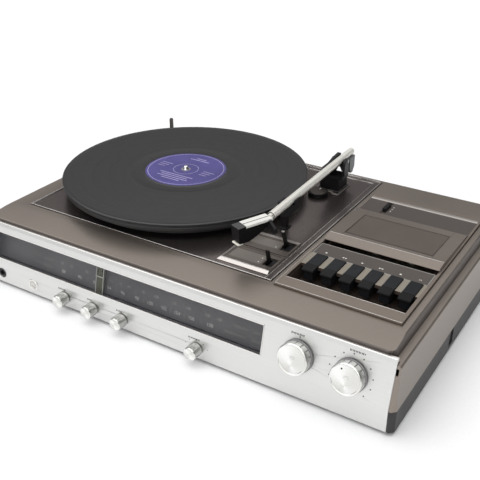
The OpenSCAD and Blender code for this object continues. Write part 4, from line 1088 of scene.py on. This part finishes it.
# painted shade: the frame's walls round the key well get the dark brown chassis finish
well_shade_faces = recolour(module_frame, "chassis_black", lambda x, y, z, n: abs(n.z) < 0.5 and 70 < y < 103
                      and 113 < x < 240)
bars("frame_edge_lines", [
    (110.1, 242.9, 53.7, 54.3, 85.3, 85.72),
    (109.85, 110.35, 54.0, 296.8, 85.2, 85.68),
    (113.7, 239.3, 69.9, 70.4, 85.3, 85.7),
], "bright_trim", width_mm=0.06)
panel = dress("tape_panel", 0.15, angle=12)
silver_line = recolour(panel, "pale_band", lambda x, y, z, n: y > 283.2 and n.z > -0.2)
dress("label_strip", 0.15)
LINE = (STRIP_Z, 85.1)
bars("label_strip_line", [
    (STRIP_LEFT, STRIP_RIGHT, 127.0, 128.2, *LINE),
    (STRIP_LEFT, STRIP_RIGHT, 150.9, 151.5, *LINE),
    (STRIP_LEFT, STRIP_LEFT + 0.7, 127.1, 151.5, *LINE),
    (STRIP_RIGHT - 0.7, STRIP_RIGHT, 127.1, 151.5, *LINE),
], "print_grey")
print("comb faces:", comb, "well faces:", well_shade_faces, "silver line faces:", silver_line)

# %% [markdown]
# ## Marks on the label strip
# Where the real strip has small words and arrows, this one has plain marks of the kind used on
# any recorder: a filled dot, a square, single and double triangles and two bars.

# %% Key marks
def arrow(x, s):
    return [(x - s, MARK_Y - 1.2), (x - s, MARK_Y + 1.2), (x + s, MARK_Y)]


def upright(x0, x1, half):
    return [(x0, MARK_Y - half), (x1, MARK_Y - half), (x1, MARK_Y + half), (x0, MARK_Y + half)]


MARK_Y = 134.5
record_x, back_x, play_x, on_x, stop_x, pause_x = [
    MODULE_X + (i - 2.5) * KEY_PITCH for i in range(6)
]
marks = [disc_ring(record_x, MARK_Y, 1.1, 20), arrow(back_x - 1.3, -1.1), arrow(back_x + 1.3, -1.1),
         arrow(play_x, 1.2), arrow(on_x - 1.3, 1.1), arrow(on_x + 1.3, 1.1),
         upright(stop_x - 1, stop_x + 1, 1)]
marks += [upright(pause_x + s, pause_x + s + 0.7, 1.1) for s in (-1.2, 0.6)]
flat_shapes("key_marks", marks, STRIP_Z, STRIP_Z + 0.1, "print_pale")
switch_marks = [disc_ring(145.5, y, 0.7, 20) for y in (261.0, 266.6, 272.2)]
flat_shapes("selector_marks", switch_marks, 85.38, 85.48, "print_pale")
print("marks on the strip:", len(marks))

# %% [markdown]
# ## Keys
# Six piano keys: a flat bar in the comb, a paddle with a lip that catches the finger, a stem that
# drops into the well and a barrel on the common shaft. The paddle is painted darker than the bar
# behind it, as painted shade for its tilted face, and is a shade less glossy.

# %% Keys, door, window
for i in range(1, 7):
    key = dress("tape_key_%d" % i, 0.5)
    # painted shade: the paddle faces get the darker copy of the key plastic
    recolour(key, "key_paddle_shaded", lambda x, y, z, n: y < 102.6 and z > 82.5 and n.z > -0.3)
dress("cassette_door", 0.5)
dress("door_window", 0.25)


def on_door(x, y, out=0.0):
    """A point on the door's top, which falls gently towards the rear."""
    if y <= 171.0:
        z = 89.0 + (y - 158.5) * 1.6 / 12.5
    else:
        z = 90.6 - (y - 171.0) * 2.9 / 74.5
    return at(x, y, z + out)


def door_lines(name, boxes, finish_name):
    return bars(name, boxes, finish_name, "door", on_door)


door_lines("window_lines", [
    (126.9, 127.3, 179.0, 231.0, -0.25, 0.12), (225.7, 226.1, 179.0, 231.0, -0.25, 0.12),
    (126.9, 226.1, 178.6, 179.0, -0.25, 0.12), (126.9, 226.1, 231.0, 231.4, -0.35, 0.1),
], "window_edge")
door_lines("door_crease", [(112.3, 240.7, 170.7, 171.2, -0.2, 0.06)], "bright_trim")
door_lines("door_side_lines", [(x, x + 0.3, 171.4, 244.0, -0.2, 0.05) for x in (126.0, 226.7)], "panel_dark")
for node, edge_mm in (("selector_slide", 0.2), ("tape_chassis", 0.2), ("supply_hub", 0.15),
                      ("take_up_hub", 0.15), ("head_carriage", 0.15)):
    dress(node, edge_mm)
print("keys dressed: 6")

# %% [markdown]
# ## Rear, underside and works
# The rear panel holds the sockets and the mains bush; two hinge blocks with their steel leaves
# wait for the dust cover; four rubber feet and four deep screws are underneath. Inside lie the
# board, the transformer, the pots and the tuning gang. They are dressed too, for whoever opens it.

# %% Rear, feet, hinges, inside
for node, edge_mm in (("rear_panel", 0.3), ("hinge_blocks", 0.3), ("left_hinge_leaf", 0.3),
                      ("right_hinge_leaf", 0.3), ("rubber_feet", 0.4), ("case_screws", 0.15),
                      ("tuning_drum", 0.2), ("control_units", 0.4), ("main_board", 0.2),
                      ("power_transformer", 0.4)):
    dress(node, edge_mm)
REAR_Y = 353.0
collar = [(7.6, 0.05), (8.5, 0.05), (8.7, 0.3), (8.5, 0.7), (7.6, 0.7)]
NORMAL_REAR = Matrix.Rotation(math.radians(-90), 3, "X")
for i, x in enumerate((-60, -30, 30, 60)):
    seat(turned("din_ring_%d" % i, collar, at(x, REAR_Y, 48), 64, NORMAL_REAR), "screw_steel")

# %% [markdown]
# ## Daylight studio
# The object stands on a wide sheet of white paper in a room that is bright in front and above and
# dim behind. A broad light overhead whitens the paper with soft shadows. The tops mirror the dim
# side, so they stay dark, while fascia and knobs mirror the paper and the bright side.

# %% Floor and lamps
bm = bmesh.new()
HALF = 14.0
corners = ((-HALF, -HALF), (HALF, -HALF), (HALF, HALF), (-HALF, HALF))
bm.faces.new([bm.verts.new((x, y, 0.0)) for x, y in corners])
bmesh.ops.subdivide_edges(bm, edges=bm.edges, cuts=12, use_grid_fill=True)
floor = new_object("paper", bm)
shop = Shop("paper")
fibre = shop.noise(shop.place, 260, 3.0)
white = shop.blend(fibre, rgb(246, 246, 247), rgb(252, 252, 253))
floor.data.materials.append(shop.paint(white, rough=0.85 + 0.1 * fibre))


def aimed(obj, spot, aim):
    bpy.context.scene.collection.objects.link(obj)
    obj.location = spot
    obj.rotation_mode = "QUATERNION"
    obj.rotation_quaternion = (Vector(aim) - Vector(spot)).to_track_quat("-Z", "Y")
    return obj


overhead = bpy.data.lights.new("overhead", "SUN")
overhead.energy = 1.75
overhead.angle = math.radians(96)
aimed(bpy.data.objects.new("overhead", overhead), (-0.3, 0.4, 2.5), (0, 0, 0))
front = bpy.data.lights.new("soft_front", "AREA")
front.shape = "RECTANGLE"
front.size, front.size_y = 1.8, 1.2
front.energy = 6
aimed(bpy.data.objects.new("soft_front", front), (0.9, -2.2, 1.0), (0, 0, 0.05))
BRIGHT_SIDE = (-0.2, -0.6, 0.77)
DIM, BRIGHT = 0.1, 1.15
world = bpy.data.worlds.new("studio")
world.use_nodes = True
room = world.node_tree
back = room.nodes["Background"]
back.inputs["Color"].default_value = (1.0, 1.0, 1.0, 1)
look = room.nodes.new("ShaderNodeTexCoord")
towards = room.nodes.new("ShaderNodeVectorMath")
towards.operation = "DOT_PRODUCT"
towards.inputs[1].default_value = BRIGHT_SIDE
ramp = room.nodes.new("ShaderNodeMapRange")
ramp.interpolation_type = "SMOOTHSTEP"
for socket, value in zip(ramp.inputs[1:5], (0.35, 0.95, DIM, BRIGHT)):
    socket.default_value = value
room.links.new(look.outputs["Generated"], towards.inputs[0])
room.links.new(towards.outputs["Value"], ramp.inputs[0])
room.links.new(ramp.outputs[0], back.inputs["Strength"])
bpy.context.scene.world = world
bpy.context.scene.view_settings.view_transform = "Standard"
print("lamps: 2")
